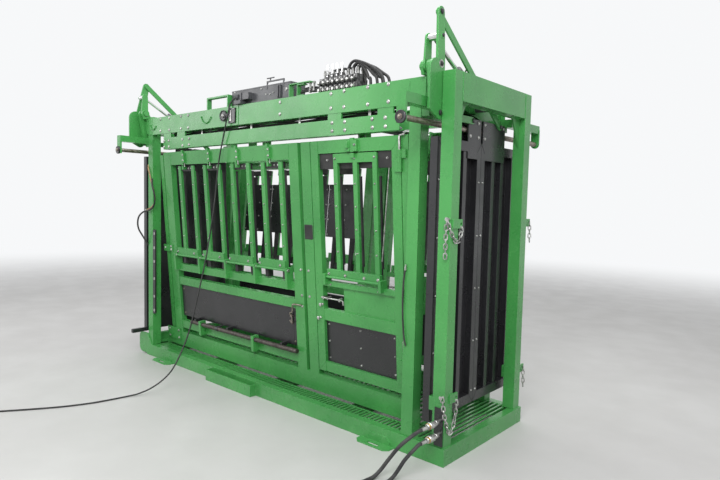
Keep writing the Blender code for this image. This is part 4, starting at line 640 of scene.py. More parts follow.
def curved(points, steps):
    """A smooth path through a few points."""
    knots = knots_of(points)
    path = []
    for a, b, c, d in zip(knots, knots[1:], knots[2:], knots[3:]):
        for i in range(steps):
            t = i / steps
            square = (2 * a - 5 * b + 4 * c - d) * t ** 2
            cube = (3 * b - a - 3 * c + d) * t ** 3
            path.append(0.5 * (2 * b + (c - a) * t + square + cube))
    path.append(knots[-2])
    return path


def side_place(side):
    """The plane of a squeeze side: x along it, y out of its face, z up it."""
    lean = Matrix.Rotation(-LEAN * side, 4, "X")
    return Matrix.Translation((0, HINGE_Y * side, HINGE_Z)) @ lean @ mirror_place(side)


def mirror_place(side):
    return Matrix.Diagonal((1, side, 1, 1))


def side_kits(body, name, place):
    """Starts kits that ride on one body of one side."""
    def start(piece, finish, edge=0):
        return Kit(f"{piece}_{name}", finish, f"{body}_{name}", place, edge)
    return start


def on_both_sides(*makers):
    for name, side in SIDES:
        for make in makers:
            make(name, side_place(side))


# Gratings

RIM, RIM_BITE = 0.012, 0.002
CROSS_BAR = 0.013
TAIL_GRATE_X, GRATE_HALF = 1.342, 0.255
WALKWAY_PITCH, GRATE_PITCH, TAIL_GRATE_PITCH = 0.033, 0.048, 0.036


def grating(name, node, strips):
    """Cross bars in a rim, in one strip or more: (x from, x to, y from, y to, pitch)."""
    kit = Kit(name, GREEN, edge=0.0012, replaced=(node,))
    low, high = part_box(node)
    z = (low[2], high[2] - GAP)
    bar_z = (z[0] + 0.0004, z[1] - 0.0006)
    for x0, x1, y0, y1, pitch in strips:
        kit.block((x0, x1), (y0, y0 + RIM), z)
        kit.block((x0, x1), (y1 - RIM, y1), z)
        bar_y = (y0 + RIM - RIM_BITE, y1 - RIM + RIM_BITE)
        count = round((x1 - x0) / pitch)
        step = (x1 - x0 - CROSS_BAR) / count
        for i in range(count + 1):
            x = x0 + step * i
            kit.block((x, x + CROSS_BAR), bar_y, bar_z)


def make_gratings():
    for name in ("walkway_near", "walkway_far"):
        low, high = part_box(name)
        grating(f"grating_{name}", name, [(low[0], high[0], low[1], high[1], WALKWAY_PITCH)])
    low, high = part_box("floor_grate")
    middle = (low[0], TAIL_GRATE_X, -GRATE_HALF, GRATE_HALF, GRATE_PITCH)
    tail = (TAIL_GRATE_X, high[0], low[1], high[1], TAIL_GRATE_PITCH)
    grating("grating_floor", "floor_grate", [middle, tail])


# Beams and posts

SUNK = 0.001
BEAM_BOLT = 0.011
UPPER_BEAM_BOLTS = (
    (-1.41, 2.166), (-1.263, 2.166), (-1.072, 2.165), (-0.961, 2.165),
    (-1.41, 2.063), (-1.261, 2.062), (-1.073, 2.062), (-0.961, 2.062),
    (0.211, 2.158), (0.211, 2.077), (0.71, 2.165), (0.825, 2.17), (0.711, 2.072), (0.826, 2.071),
    (1.021, 2.171), (1.182, 2.171), (1.023, 2.068), (1.184, 2.069),
)
LOWER_BEAM_BOLTS = (
    (-1.347, 1.97), (-1.268, 1.97), (-1.049, 1.97), (-0.947, 1.971),
    (-1.347, 1.917), (-1.267, 1.918), (-1.048, 1.917), (-0.947, 1.92),
    (0.724, 1.978), (0.835, 1.977), (0.726, 1.926), (0.837, 1.925),
    (1.062, 1.977), (1.164, 1.977), (1.065, 1.925), (1.167, 1.925),
)
BEAM_HOOKS = (
    ((-0.766, 2.134), (-0.745, 2.1), (-0.704, 2.078), (-0.66, 2.09), (-0.63, 2.121)),
    ((-1.583, 2.122), (-1.57, 2.096), (-1.535, 2.082), (-1.505, 2.09), (-1.489, 2.11)),
)
ISOLATOR_X, ISOLATOR_Z = -0.452, 2.118
UPPER_BEAM_Z = (2.04, 2.18)
BEAM_JOINTS = ((-1.5575, (1.9, 1.996)), (-1.5575, UPPER_BEAM_Z), (1.3365, UPPER_BEAM_Z))
PORTAL_FACES = (1.5578, 1.6382)


def make_beam_parts():
    for name, side in SIDES:
        kit = Kit(f"beam_bolts_{name}", ZINC, place=mirror_place(side))
        kit.heads(BEAM_BOLT, BEAM_FACE, UPPER_BEAM_BOLTS + LOWER_BEAM_BOLTS)

    near = mirror_place(-1)
    root = BEAM_FACE - SUNK
    stop_y = (0.428, 0.468)
    green = Kit("beam_plates", GREEN, place=near, edge=0.001)
    green.block((-0.296, -0.269), (root, BEAM_FACE + 0.0032), (2.042, 2.182))
    green.block((1.243, 1.326), (root, BEAM_FACE + 0.003), (2.067, 2.118))
    green.block((0.292, 0.298), stop_y, (2.184, 2.276))
    green.block((0.292, 0.5), stop_y, (2.27, 2.276))
    for path in BEAM_HOOKS:
        start, end = ((x, BEAM_FACE - 0.004, z + 0.004) for x, z in (path[0], path[-1]))
        green.bent([start, *((x, BEAM_FACE + 0.006, z) for x, z in path), end], 0.0042, 4, 8)

    switch = Kit("isolator_plate", BLACK, place=near, edge=0.0015)
    switch.block((-0.382, -0.3), (root, BEAM_FACE + 0.012), (2.054, 2.168))
    rim = [(0, 0.041), (0.01, 0.043), (0.016, 0.043), (0.02, 0.038), (0.012, 0.033), (0.011, 0.005)]
    switch.turned((ISOLATOR_X, root, ISOLATOR_Z), OUT, rim, 24)
    switch.block((-0.462, -0.372), (BEAM_FACE + 0.004, BEAM_FACE + 0.013), (2.106, 2.13))
    bright = Kit("isolator_fittings", ZINC, place=near, edge=0.0008)
    knob = [(0, 0.016), (0.012, 0.016), (0.018, 0.011), (0.021, 0.004)]
    bright.turned((ISOLATOR_X, BEAM_FACE + 0.006, ISOLATOR_Z), OUT, knob, 16)
    bright.block((-0.366, -0.344), (BEAM_FACE + 0.01, BEAM_FACE + 0.0155), (2.07, 2.152))
    bright.heads(0.0055, BEAM_FACE + 0.0115, ((-0.317, 2.064), (-0.317, 2.158)))


def make_weld_beads():
    kit = Kit("frame_weld_beads", GREEN)
    for _, side in SIDES:
        for x, (low, high) in BEAM_JOINTS:
            kit.bead((x, BEAM_FACE * side, low), (x, BEAM_FACE * side, high))
        for x in PORTAL_FACES:
            kit.bead((x, 0.386 * side, 2.041), (x, 0.386 * side, 2.196))
        for x in PORTAL_FACES:
            kit.bead((x, 0.388 * side, 0.1025), (x, 0.466 * side, 0.1025))


# Squeeze sides

UNIT_COUNT = 4
UNIT_PITCH = 0.378
UNIT_FIRST_RIGHT = -0.945
UNIT_BAR = 0.04
UNIT_BAR_SPACING = 0.2
PIVOT_N, PIVOT_W = 0.04, 0.835
LUG_HALF = 0.011
LUG_X = (-1.284, -0.906, -0.528, -0.15, 0.219)
BAR_FRONT = 0.018
PLATE_FRONT = 0.034
STRIP_FRONT = 0.0252
SCREW_W = (1.01, 1.166, 1.313, 1.46)
SCREW, PAD_SCREW, PLATE_NUT = 0.0052, 0.0075, 0.0085
# Each pad: inset from the bar's left edge, reach past its right edge, across, up
BAR_PADS = (
    (0.0012, -0.0012, (-0.022, -0.0038), (0.764, 0.93)),
    (0.001, 0.006, (-0.0222, -0.0036), (0.92, 1.5612)),
    (0.003, -0.003, (-0.0215, 0.027), (0.764, 0.8236)),
)
SHEET_W = (1.035, 1.485)
SHEET_N = (-0.0262, -0.022)
RIVET_W = (1.055, 1.185, 1.312, 1.441)
CENTRE_PLATE_BOLTS = ((0.35, 0.853), (0.35, 0.666), (0.35, 0.586), (0.43, 0.668), (0.43, 0.853))
HEAD_PLATE_BOLTS = ((-1.475, 0.886), (-1.375, 0.872), (-1.375, 0.901))
FOOT_PLATE_BOLTS = ((-1.5, 0.118), (-1.348, 0.118), (-1.5, 0.05), (-1.348, 0.05))
STILE_FACES = (-1.2898, 0.2748)
STILE_BEADS_W = (0.154, 0.226, 0.559, 0.631, 0.689, 0.753)


def unit_right(unit):
    return UNIT_FIRST_RIGHT + UNIT_PITCH * unit


def make_drop_bar_parts(name, place):
    for unit in range(UNIT_COUNT):
        tag = f"{name}_{unit + 1}"
        body = f"drop_bars_{tag}"
        right = unit_right(unit)
        lefts = (right - UNIT_BAR - UNIT_BAR_SPACING, right - UNIT_BAR)
        pads = Kit(f"bar_pads_{tag}", RUBBER, body, place, edge=0.002)
        bolts = Kit(f"bar_screws_{tag}", ZINC, body, place)
        for left in lefts:
            for inset, reach, n, w in BAR_PADS:
                pads.block((left + inset, left + UNIT_BAR + reach), n, w)
            bolts.heads(SCREW, BAR_FRONT, ((left + UNIT_BAR / 2, w) for w in SCREW_W))
        pads.block((lefts[0] - 0.0215, right + 0.001), (-0.0175, 0.0052), (1.5735, 1.6204))
        pad_screws = (lefts[0] - 0.01, right - 0.15, right - 0.095, right - 0.052)
        bolts.heads(PAD_SCREW, 0.005, ((x, 1.598) for x in pad_screws))
        left_end = right - (0.32 if unit == 0 else 0.3)
        for x in (left_end + 0.012, right - 0.052):
            bolts.nut((x, PLATE_FRONT, 0.865), OUT, PLATE_NUT)


def make_squeeze_parts(name, place):
    kit = side_kits("squeeze", name, place)
    zinc = kit("side_fittings", ZINC, 0.0006)
    for unit in range(UNIT_COUNT):
        x = unit_right(unit) - UNIT_BAR_SPACING + 0.05
        zinc.turned((x + 0.032, 0.028, 1.612), UP, [(0, 0.005), (0.034, 0.005)], 10)
        zinc.heads(0.007, 0.042, ((x + 0.034, 1.712), (x + 0.034, 1.668)))
    pin_end = [(-0.001, 0.0125), (0.004, 0.0125), (0.005, 0.011)]
    for x in LUG_X:
        for way in (1, -1):
            zinc.turned((x + LUG_HALF * way, PIVOT_N, PIVOT_W), (way, 0, 0), pin_end)
    zinc.heads(0.0085, STRIP_FRONT, CENTRE_PLATE_BOLTS)
    zinc.heads(0.0095, 0.0327, HEAD_PLATE_BOLTS)
    zinc.heads(0.0095, 0.033, FOOT_PLATE_BOLTS)
    hinge_pin = [(0.045, 0.0075), (0.122, 0.0075), (0.128, 0.005)]
    for low in (1.612, 0.372):
        zinc.turned((1.265, 0.038, low), UP, hinge_pin, 10)
    handle = ((1.265, 1.733), (1.269, 1.742), (1.29, 1.746), (1.305, 1.746))
    zinc.pipe([(x, 0.038, w) for x, w in handle], 0.006)

    green = kit("side_plates", GREEN, 0.001)
    green.block((-1.5, -1.352), (0.0245, 0.0325), (0.855, 0.917))
    green.block((-1.489, -1.441), (0.0095, 0.025), (0.862, 0.91))
    green.block((-1.535, -1.325), (0.0245, 0.0328), (0.03, 0.138))
    for w in STILE_BEADS_W:
        for x in STILE_FACES:
            green.bead((x, 0, w), (x, 0.021, w), 0.0024)
    for x in STILE_FACES:
        green.bead((x, STRIP_FRONT, 1.633), (x, STRIP_FRONT, 1.742), 0.0024)

    sleeve = kit("post_sleeve", RUBBER, 0.012)
    sleeve.block((0.3995, 0.4945), (-0.0275, 0.0275), (1.07, 1.185))


def make_liner_sheets():
    """Black sheets bolted on the inside of the far bars, as seen through the near ones."""
    place = side_place(1)
    for unit in range(UNIT_COUNT):
        body = f"drop_bars_far_{unit + 1}"
        right = unit_right(unit)
        sheet = Kit(f"liner_sheet_{unit + 1}", BLACK, body, place, edge=0.0012)
        sheet.block((right - 0.315, right + 0.058), SHEET_N, SHEET_W)
        rivets = Kit(f"liner_rivets_{unit + 1}", ZINC, body, place)
        for x in (right - 0.298, right - 0.11, right + 0.041):
            for w in RIVET_W:
                rivets.bolt((x, SHEET_N[0], w), NEARWARD, 0.006)


# Doors

DOOR_PIPE_N, DOOR_PIPE_W = 0.052, 0.248
DOOR_PIPE_X, DOOR_PIPE_LENGTH, DOOR_PIPE_RADIUS = -1.0855, 1.386, 0.0174
DOOR_ROD = (
    (0.214, 0.012, 0.43), (0.214, 0.014, 0.5), (0.216, 0.03, 0.52), (0.24, 0.036, 0.526),
    (0.25, 0.036, 0.54), (0.252, 0.036, 0.58), (0.262, 0.036, 0.59), (0.3, 0.036, 0.594),
    (0.352, 0.036, 0.596),
)
DOOR_BOLTS = ((0.186, 0.45), (0.186, 0.5), (-1.25, 0.3), (-1.25, 0.52), (0.235, 0.3))
SMALL_BOLT = 0.0062
TOP_PAD_W = (1.556, 1.66)
TOP_PAD = ((0.566, 1.194), (-0.0178, -0.0056))
TOP_PAD_ENDS = ((0.566, 0.696), (1.076, 1.194))
REAR_BAR, REAR_BAR_LEFTS = 0.036, (0.7, 0.872, 1.035)
REAR_BOLT_PROFILE = [
    (0, 0.009), (0.006, 0.009), (0.009, 0.006), (0.018, 0.006), (0.02, 0.013), (0.028, 0.013),
    (0.031, 0.009),
]


def make_lower_door_parts(name, place):
    kit = side_kits("lower_door", name, place)
    pipe_place = (DOOR_PIPE_X, DOOR_PIPE_N, DOOR_PIPE_W)
    steel = kit("door_pipe", DULL_STEEL)
    pipe = [(0, 0.014), (0.001, DOOR_PIPE_RADIUS), (1.385, DOOR_PIPE_RADIUS), (DOOR_PIPE_LENGTH, 0.014)]
    steel.turned(pipe_place, ALONG, pipe, 18)
    bright = kit("door_latch", STEEL, 0.0006)
    bright.bent(DOOR_ROD, 0.0055, 3, 8)
    for w in (0.44, 0.486):
        bright.block((0.203, 0.226), (0.003, 0.021), (w, w + 0.012))
    bright.heads(SMALL_BOLT, 0.0038, DOOR_BOLTS)
    clip = kit("door_clips", BLACK, 0.0008)
    clip.turned((-0.705, DOOR_PIPE_N, DOOR_PIPE_W), ALONG, [(0, 0.0205), (0.03, 0.0205)], 18)
    clip.block((-0.703, -0.677), (0.0035, DOOR_PIPE_N), (0.262, 0.2685))
    for x in (-1.253, 0.222):
        clip.bead((x, 0.0042, 0.275), (x, 0.0042, 0.545), 0.0016)


def make_rear_door_parts(name, place):
    kit = side_kits("rear_door", name, place)
    black = kit("rear_kick_panel", BLACK, 0.0012)
    black.block((0.565, 1.195), (-0.0125, 0.0012), (0.219, 0.521))
    pad = kit("rear_top_pad", RUBBER, 0.003)
    pad.block(*TOP_PAD, TOP_PAD_W)
    for x in TOP_PAD_ENDS:
        pad.block(x, (-0.006, 0.01), TOP_PAD_W)
    zinc = kit("rear_door_fittings", ZINC, 0.0006)
    zinc.heads(SMALL_BOLT, 0.001, ((x, w) for w in (0.25, 0.37, 0.49) for x in (0.592, 0.88, 1.168)))
    zinc.heads(0.0072, 0.0098, ((0.64, 1.615), (1.15, 1.615)))
    zinc.heads(SMALL_BOLT, 0.0215, ((0.64, 0.814 - 0.035), (1.061, 0.814 - 0.035)))
    handle = ((0.556, 0.682), (0.745, 0.682), (0.757, 0.678), (0.76, 0.65))
    zinc.pipe([(x, 0.031, w) for x, w in handle], 0.0062)
    for x in (0.572, 0.612, 0.722):
        zinc.block((x, x + 0.012), (0.0035, 0.039), (0.672, 0.692))
    zinc.pipe([(1.16, 0.004, 1.66), (1.162, 0.003, 1.592), (1.079, -0.001, 0.971)], 0.0042)
    for x, w in ((0.558, 0.632), (0.534, 0.535)):
        zinc.turned((x, 0.024, w), OUT, REAR_BOLT_PROFILE, 14)
    strap_x = sum(REAR_BAR_LEFTS) / len(REAR_BAR_LEFTS)
    zinc.bolt((strap_x + 0.044, 0.042, 1.705), OUT, 0.0075)
    block = kit("rear_latch_block", GREEN, 0.003)
    block.block((0.834, 0.868), (0.0245, 0.04), (1.666, 1.744))
    block.block((0.84, 0.862), (0.0245, 0.052), (1.685, 1.73))
    lip = kit("rear_door_beads", GREEN)
    for x, inside in ((0.4985, 0.5655), (1.2615, 1.1945)):
        lip.bead((x, 0.025, 1.7445), (inside, 0.025, 1.6605), 0.002)
        lip.bead((x, 0.025, 0.1505), (inside, 0.025, 0.2195), 0.002)
    for w in (0.52, 0.6, 0.765, 0.8):
        for x in (0.5662, 1.1938):
            lip.bead((x, 0.0015, w), (x, 0.0215, w), 0.002)


def make_rear_bar_parts(name, place):
    kit = side_kits("rear_drop_bars", name, place)
    pads = kit("rear_bar_pads", RUBBER, 0.002)
    bolts = kit("rear_bar_screws", ZINC)
    for left in REAR_BAR_LEFTS:
        middle = left + REAR_BAR / 2
        pads.block((left + 0.0012, left + 0.0348), (-0.022, -0.0038), (0.8232, 0.93))
        pads.block((left + 0.001, left + 0.045), (-0.0222, -0.0036), (0.92, 1.5062))
        bolts.heads(SCREW, BAR_FRONT, ((middle, w) for w in SCREW_W))
        bolts.bolt((middle, BAR_FRONT, 1.624), OUT, 0.0068)
    for x in (0.64, 0.79, 0.955, 1.07):
        bolts.nut((x, PLATE_FRONT, 0.857), OUT, PLATE_NUT)


# End gates

TAIL_FACE, HEAD_FACE = 1.42, -1.638
BEAM_TOP = 2.185
LEVER_Z = BEAM_TOP + 0.05
# Each gate: name, the plane of its frame, the way out of it, lever top, bar's near end, drop
GATES = (
    ("tail_gate", TAIL_FACE, 1, (-0.495, LEVER_Z + 0.275), -0.765, 0),
    ("head_gate", HEAD_FACE, -1, (-0.42, LEVER_Z + 0.265), -0.715, 0.03),
)
LEVER_PIVOT = (-0.483, LEVER_Z)
LEVER_FOOT = (-0.482, LEVER_Z - 0.263)
ROD_PIN = (-0.478, LEVER_Z + 0.153)
BARREL_PIN = (0.08, LEVER_Z - 0.16)
STRUT_PIN = (0.245, LEVER_Z - 0.26)
LINK_PIN = (-0.1, LEVER_Z - 0.26)
BAR_Z = BEAM_TOP - 0.265
BAR_LEVEL, BAR_RADIUS, BAR_FAR_END, BAR_END_INSET = 0.0806, 0.0168, 0.862, 0.024
PANEL_LOW, PANEL_HIGH = 0.22, 1.85
PANEL_SKIN, BEAD_LEVEL, PANEL_SCREW = 0.1075, 0.1077, 0.0058
PANEL_SCREW_Z = (0.3, 0.62, 0.95, 1.28, 1.61)
# Each panel: name, its two edges across, the bolts of its hanger
GATE_PANELS = (
    ("near", -0.455, 0.029, ((-0.108, 1.972), (-0.015, 1.97), (-0.012, 1.885), (-0.108, 1.885))),
    ("far", 0.031, 0.485, ((0.066, 1.97), (0.237, 1.97), (0.066, 1.884), (0.31, 1.97))),
)
UPPER_PIN, LOWER_PIN = 0.1373, 0.1224
PIN_NUT, LEVER_BOLT = 0.0135, 0.0095
PORTS = ((0.31, 0.062), (0.06, 0.04))
PORT_LEVEL = 0.0925
BAR_DISC = [(0, 0.0346), (0.0105, 0.0346), (0.0122, 0.0325), (0.0116, 0.027), (0.0112, 0.004)]
PORT_UNION = [(0, 0.01), (0.01, 0.01), (0.011, 0.008), (0.018, 0.008)]


def make_panel_parts(name, at, way, drop):
    for part, y0, y1, hanger_bolts in GATE_PANELS:
        body = f"{name}_panel_{part}"
        zinc = Kit(f"{body}_bolts", ZINC, body)
        for y, z in hanger_bolts:
            zinc.bolt(at(y, z - drop, PANEL_SKIN), way, 0.0095)
        for z in PANEL_SCREW_Z:
            for y in (y0 + 0.022, y1 - 0.022):
                zinc.bolt(at(y, z, PANEL_SKIN), way, PANEL_SCREW)
        beads = Kit(f"{body}_beads", BLACK, body)
        for y, into in ((y0, 1), (y1, -1)):
            for z, up in ((PANEL_HIGH, -1), (PANEL_LOW, 1)):
                corner = at(y + 0.001 * into, z + 0.001 * up, BEAD_LEVEL)
                beads.bead(corner, at(y + 0.045 * into, z + 0.06 * up, BEAD_LEVEL), 0.002)


def make_lever_parts(name, at, way, top):
    nuts = Kit(f"{name}_lever_fittings", ZINC, f"{name}_lever")
    nuts.turned(at(*LEVER_PIVOT, 0.135), way, [(0, 0.0225), (0.0016, 0.0225), (0.002, 0.0215)], 24)
    cap = Kit(f"{name}_lever_cap", BLACK, f"{name}_lever")
    cap.turned(at(*LEVER_PIVOT, 0.1365), way, [(0, 0.015), (0.003, 0.015), (0.004, 0.013)], 18)
    cap.bolt(at(*LEVER_PIVOT, 0.1396), way, LEVER_BOLT)
    cap.bolt(at(*ROD_PIN, 0.1376), way, LEVER_BOLT)
    for part, upper, lower in (("strut", top, STRUT_PIN), ("link", LEVER_FOOT, LINK_PIN)):
        for end, pin, level in (("top", upper, UPPER_PIN), ("end", lower, LOWER_PIN)):
            kit = Kit(f"{name}_{part}_{end}_nut", BLACK, f"{name}_{part}")
            kit.bolt(at(*pin, level), way, PIN_NUT)


def make_bar_parts(name, at, near_end, z):
    steel = Kit(f"{name}_bare_bar", STEEL)
    length = BAR_FAR_END - near_end - 2 * BAR_END_INSET
    bar = at(near_end + BAR_END_INSET, z, BAR_LEVEL)
    steel.turned(bar, OUT, [(0, BAR_RADIUS), (length, BAR_RADIUS)], 20)
    steel.nut(at(near_end - 0.0055, z, BAR_LEVEL), NEARWARD, 0.012)
    disc = Kit(f"{name}_bar_disc", BLACK)
    disc.turned(at(near_end + 0.006, z, BAR_LEVEL), NEARWARD, BAR_DISC, 24)


def make_cylinder_parts(name, at):
    """Hoses and unions of a gate's cylinder, placed along its barrel."""
    body = f"{name}_cylinder_barrel"
    barrel = Vector(BARREL_PIN)
    along = (Vector(ROD_PIN) - barrel).normalized()
    up = Vector((along.y, -along.x))
    hoses = Kit(f"{name}_cylinder_hoses", RUBBER, body)
    for start, lift in PORTS:
        route = []
        for distance, rise, level in (
            (start, 0.026, PORT_LEVEL), (start - 0.004, 0.034, PORT_LEVEL), (start - 0.03, lift, 0.09),
            (start * 0.5, lift + 0.016, 0.078), (0, lift, 0.064), (-0.05, 0.02, 0.052),
        ):
            route.append(at(*(barrel + along * distance + up * rise), level))
        hoses.bent(route, 0.0058)
    ends = Kit(f"{name}_cylinder_unions", ZINC, body)
    for start, _ in PORTS:
        ends.turned(at(*(barrel + along * start + up * 0.018), PORT_LEVEL), (0, *up), PORT_UNION, 6)


def make_gate_parts():
    for name, face, out, top, near_end, drop in GATES:
        def at(y, z, level):
            return (face + level * out, y, z)

        way = (out, 0, 0)
        make_panel_parts(name, at, way, drop)
        make_lever_parts(name, at, way, top)
        make_bar_parts(name, at, near_end, BAR_Z - drop)
        make_cylinder_parts(name, at)


# Controls

VALVE_LEFT, VALVE_PITCH, VALVE_SECTIONS = 0.56, 0.0425, 8
TALL_SECTIONS = (0, 5, 6, 7)
COLUMN_Z, COLUMN_FRONT, COLUMN_BACK = 2.279, -0.402, -0.362
COLUMN = [
    (0, 0.011), (0.01, 0.011), (0.011, 0.009), (0.026, 0.009), (0.027, 0.012), (0.044, 0.012),
    (0.045, 0.009), (0.06, 0.009),
]
SECTION_GLAND = [(0, 0.0125), (0.012, 0.0125), (0.014, 0.01), (0.024, 0.01)]
SECTION_CAP = [(0, 0.0105), (0.014, 0.0105), (0.018, 0.007), (0.021, 0.003)]
SECTION_SCREW = [(0, 0.004), (0.006, 0.004), (0.007, 0.003)]
INLET_COLUMN = [(0, 0.012), (0.02, 0.012), (0.021, 0.009), (0.058, 0.009), (0.06, 0.012), (0.072, 0.012)]
# Each hose over the beam: x and y of its union, x of its far end, crest
CREST_HOSES = (
    (0.794, COLUMN_FRONT, 1.095, 2.366), (0.836, COLUMN_FRONT, 1.044, 2.352),
    (0.879, COLUMN_FRONT, 0.99, 2.332), (0.794, COLUMN_BACK, 1.11, 2.36),
    (0.836, COLUMN_BACK, 1.056, 2.344), (0.879, COLUMN_BACK, 0.915, 2.32),
)
TRAY_FRONT = -0.4403
TRAY_SCREWS = (
    (0.015, 2.24), (0.06, 2.235), (0.095, 2.246), (0.23, 2.245), (-0.36, 2.29), (-0.04, 2.285),
)


def make_valve_parts():
    zinc = Kit("valve_fittings", ZINC)
    for section in range(VALVE_SECTIONS):
        x = VALVE_LEFT + VALVE_PITCH * (section + 0.5)
        zinc.turned((x, -0.442, 2.202), NEARWARD, SECTION_GLAND, 6)
        zinc.turned((x, -0.456, 2.245), NEARWARD, SECTION_CAP, 12)
        if section in TALL_SECTIONS:
            zinc.turned((x, COLUMN_FRONT, COLUMN_Z), UP, COLUMN, 6)
        zinc.turned((x, COLUMN_BACK, COLUMN_Z), UP, COLUMN, 6)
        for z in (2.222, 2.268):
            zinc.turned((x, -0.435, z), NEARWARD, SECTION_SCREW, 8)
    for x in (0.469, 0.506):
        zinc.turned((x, -0.43, 2.205), UP, INLET_COLUMN, 6)

    black = Kit("valve_hoses", RUBBER)
    for x, y, end, crest in CREST_HOSES:
        reach = end - x
        black.bent([
            (x, y, 2.322), (x + 0.001, y, 2.332), (x + reach * 0.08, y, crest - 0.006),
            (x + reach * 0.22, y, crest), (x + reach * 0.55, y, crest - 0.038),
            (x + reach * 0.8, y - 0.004, crest - 0.086), (x + reach * 0.95, y - 0.008, 2.24),
            (end, y - 0.008, 2.19), (end + 0.002, y - 0.006, 2.15),
        ], 0.0095)
    for i, y in enumerate((-0.432, -0.412, -0.392)):
        z = 2.214 + 0.016 * i
        route = [(0.562, y, z), (0.52, y - 0.004, z - 0.006), (0.45, y, z + 0.004), (0.376, y, z)]
        black.bent(route, 0.0075)
    for x in (0.624, 0.666, 0.709, 0.751):
        black.bent([
            (x, COLUMN_BACK, 2.33), (x + 0.003, -0.355, 2.345), (x + 0.014, -0.33, 2.335),
            (x + 0.02, -0.315, 2.27), (x + 0.02, -0.313, 2.15),
        ], 0.008, sides=8)


def make_tray_parts():
    root = TRAY_FRONT + SUNK
    tray = Kit("tray_fittings", GREY, edge=0.0008)
    tray.block((-0.401, 0.281), (TRAY_FRONT - 0.001, TRAY_FRONT + 0.003), (2.2955, 2.3045))
    for x in (0.15, 0.176):
        tray.block((x, x + 0.007), (TRAY_FRONT - 0.012, root), (2.2, 2.29))
    tray.block((-0.292, -0.212), (-0.502, root), (2.188, 2.214))
    for x in (-0.288, -0.276, -0.264):
        tray.turned((x, -0.475, 2.243), ALONG, [(0, 0.0215), (0.006, 0.0215)], 18)
    stem = [(0, 0.005), (0.018, 0.005), (0.019, 0.008), (0.024, 0.008)]
    tray.turned((0.058, -0.4375, 2.33), UP, stem, 10)
    tray.pipe([(0.02, -0.4375, 2.352), (0.1, -0.4375, 2.352)], 0.0045)
    bright = Kit("tray_screws", ZINC)
    for x, z in TRAY_SCREWS:
        bright.bolt((x, TRAY_FRONT, z), NEARWARD, 0.005)
    bright.turned((0.24, root, 2.255), NEARWARD, [(0, 0.011), (0.004, 0.011), (0.006, 0.008)], 14)


# Hoses and chains

BEAM_HOSE_COUNT, BEAM_HOSE_STEPS = 5, 33
BEAM_HOSE_START, BEAM_HOSE_LENGTH = -1.3, 2.56
CHAIN_X, RING_X = 1.646, 1.63
CHAIN_PINS_Z = (1.392, 0.398)
CHAIN_PIN = [(0, 0.007), (0.026, 0.007), (0.027, 0.011), (0.031, 0.011)]
TAN_Y, DARK_Y = -0.477, -0.49
TAN_HOSE = (
    (-1.648, -0.462, 1.77), (-1.622, TAN_Y, 1.735), (-1.605, TAN_Y, 1.7), (-1.59, TAN_Y, 1.66),
    (-1.565, TAN_Y, 1.605), (-1.52, TAN_Y, 1.52), (-1.503, TAN_Y, 1.455), (-1.53, TAN_Y, 1.405),
    (-1.585, TAN_Y, 1.375), (-1.64, TAN_Y, 1.358), (-1.662, TAN_Y, 1.354),
)
DARK_HOSE = (
    (-1.56, -0.474, 1.64), (-1.53, DARK_Y, 1.58), (-1.492, DARK_Y, 1.5), (-1.487, DARK_Y, 1.43),
    (-1.53, DARK_Y, 1.375), (-1.61, -0.492, 1.348), (-1.66, -0.508, 1.335), (-1.681, -0.538, 1.295),
    (-1.683, -0.55, 1.235), (-1.681, -0.54, 1.175), (-1.67, -0.51, 1.115), (-1.65, -0.486, 1.062),
    (-1.64, -0.462, 1.02),
)
TAIL_POST_HOSE = (
    (1.345, -0.478, 1.085), (1.337, -0.479, 1.02), (1.334, -0.479, 0.9), (1.34, -0.479, 0.78),
    (1.35, -0.479, 0.69), (1.362, -0.476, 0.64),
)
STRIP_Z = (0.4, 1.175)
STRIP_PLATES_Z = (0.43, 0.56, 0.725, 0.884, 1.01, 1.14)


def make_beam_hoses():
    """The hoses that run to the gates inside the near beams, seen through the gap between them; their black
    also serves as painted shade for the dark in that gap.
    """
    # These black hoses double as painted shade in the gap between the beams, where shade falls under the
    # upper beam's flange.
    kit = Kit("beam_hoses_and_gap_shade", RUBBER)
    for row in range(BEAM_HOSE_COUNT):
        y = -0.404 + 0.006 * (row % 2)
        z = 2.006 + 0.0165 * row
        path = []
        for i in range(BEAM_HOSE_STEPS + 1):
            x = BEAM_HOSE_START + BEAM_HOSE_LENGTH * i / BEAM_HOSE_STEPS
            sway = sin(i * 1.3 + row * 2.1)
            path.append((x, y + 0.002 * sin(i * 0.9 + row), z + 0.0018 * sway))
        kit.bent(path, 0.0085, 2, 8)
    clips = Kit("beam_hose_clips", ZINC, edge=0.0008)
    for x in (-0.86, -0.2, 0.34, 0.98):
        clips.block((x, x + 0.022), (-0.416, -0.4135), (1.996, 2.086))


def make_chains():
    kit = Kit("gate_chains", ZINC)
    x = CHAIN_X
    kit.chain(curved([
        (x - 0.012, -0.372, 1.368), (x, -0.368, 1.33), (x, -0.385, 1.285), (x, -0.412, 1.262),
        (x, -0.448, 1.29), (x - 0.006, -0.482, 1.34), (RING_X, -0.486, CHAIN_PINS_Z[0]),
    ], 3))
    kit.chain([(1.624, -0.488, 1.385), (1.622, -0.489, 1.29), (1.621, -0.487, 1.175)])
    kit.chain(curved([
        (x - 0.012, -0.36, 0.378), (x, -0.358, 0.34), (x, -0.372, 0.25), (x, -0.405, 0.182),
        (x, -0.44, 0.2), (x - 0.004, -0.476, 0.3), (RING_X, -0.484, CHAIN_PINS_Z[1]),
    ], 3))
    for y, z in ((0.53, 1.36), (0.526, 0.36)):
        kit.chain([(1.632, y, z + 0.006), (1.634, y + 0.004, z - 0.13)])
    for z in CHAIN_PINS_Z:
        kit.turned((1.628, -0.4674, z), NEARWARD, CHAIN_PIN, 10)


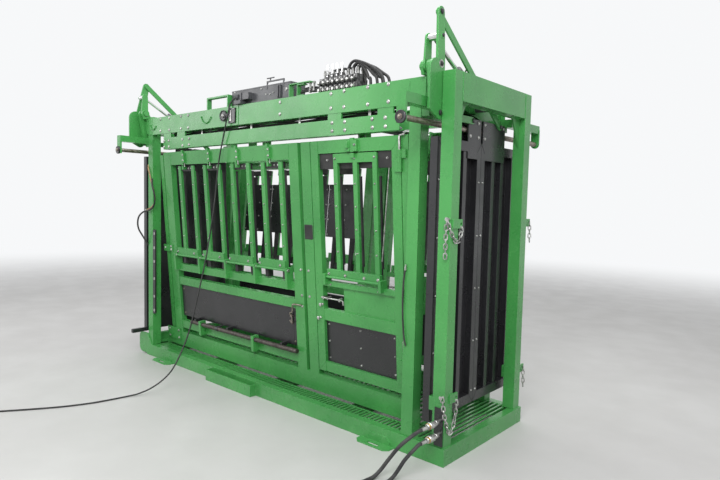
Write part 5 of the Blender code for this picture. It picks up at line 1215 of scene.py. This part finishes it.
def make_loose_hoses():
    dark = Kit("head_gate_hose_black", RUBBER)
    dark.bent(DARK_HOSE, 0.0075, 6)
    dark.bent(TAIL_POST_HOSE, 0.0052, 6)
    pale = Kit("head_gate_hose_tan", TAN)
    pale.bent(TAN_HOSE, 0.0062, 6)
    ends = Kit("loose_hose_ends", ZINC)
    union = [(0, 0.0075), (0.022, 0.0075), (0.023, 0.0055), (0.034, 0.0055)]
    ends.turned((1.346, -0.478, 1.084), (0.1, 0, 1), union, 6)
    ends.turned((-1.652, -0.477, 1.356), (-1, 0, -0.1), [(0, 0.0085), (0.024, 0.0085)], 6)


def make_head_post_parts():
    strip = Kit("head_post_strip", BLACK, edge=0.001)
    strip.block((-1.5585, -1.5455), (-0.4685, -0.44), STRIP_Z)
    strip.block((-1.546, -1.518), (-0.4685, -0.4625), STRIP_Z)
    bits = Kit("head_post_strip_plates", ZINC, edge=0.0005)
    for z in STRIP_PLATES_Z:
        bits.block((-1.544, -1.522), (-0.47, -0.465), (z - 0.012, z + 0.012))
    runner = Kit("head_runner_block", BLACK, "head_gate_panel_near", edge=0.003)
    runner.block((-1.734, -1.703), (-0.5895, -0.5), (0.2045, 0.2415))


def make_supply_marks():
    stripe = Kit("supply_hose_stripe", YELLOW)
    path = curved(PRESSURE_ROUTE[1:12], 5)
    line = []
    for here, after in zip(path, path[1:]):
        aside = (after - here).cross(Vector(UP)).normalized()
        line.append(here + (aside * 0.9 + Vector((0, 0, 0.42))) * (HOSE_DIAMETER / 2 - 0.001))
    stripe.pipe(line, 0.0022)
    ring = Kit("coupler_rings", BRASS)
    profile = [(0, 0.017), (0.001, 0.0182), (0.009, 0.0182), (0.01, 0.017)]
    for z in (0.252, 0.176):
        ring.turned((1.606, -0.57, z), NEARWARD, profile, 20)


place_camera()
bpy.context.scene.view_settings.view_transform = "Standard"
make_floor()
make_world()
for light in LIGHTS:
    area_light(*light)
make_cords()
finish_nodes()
round_nodes()
make_gratings()
make_beam_parts()
make_weld_beads()
on_both_sides(make_drop_bar_parts)
on_both_sides(make_squeeze_parts)
make_liner_sheets()
on_both_sides(make_lower_door_parts, make_rear_door_parts, make_rear_bar_parts)
make_gate_parts()
make_valve_parts()
make_tray_parts()
make_beam_hoses()
make_chains()
make_loose_hoses()
make_head_post_parts()
make_supply_marks()
for kit in KITS:
    kit.done()
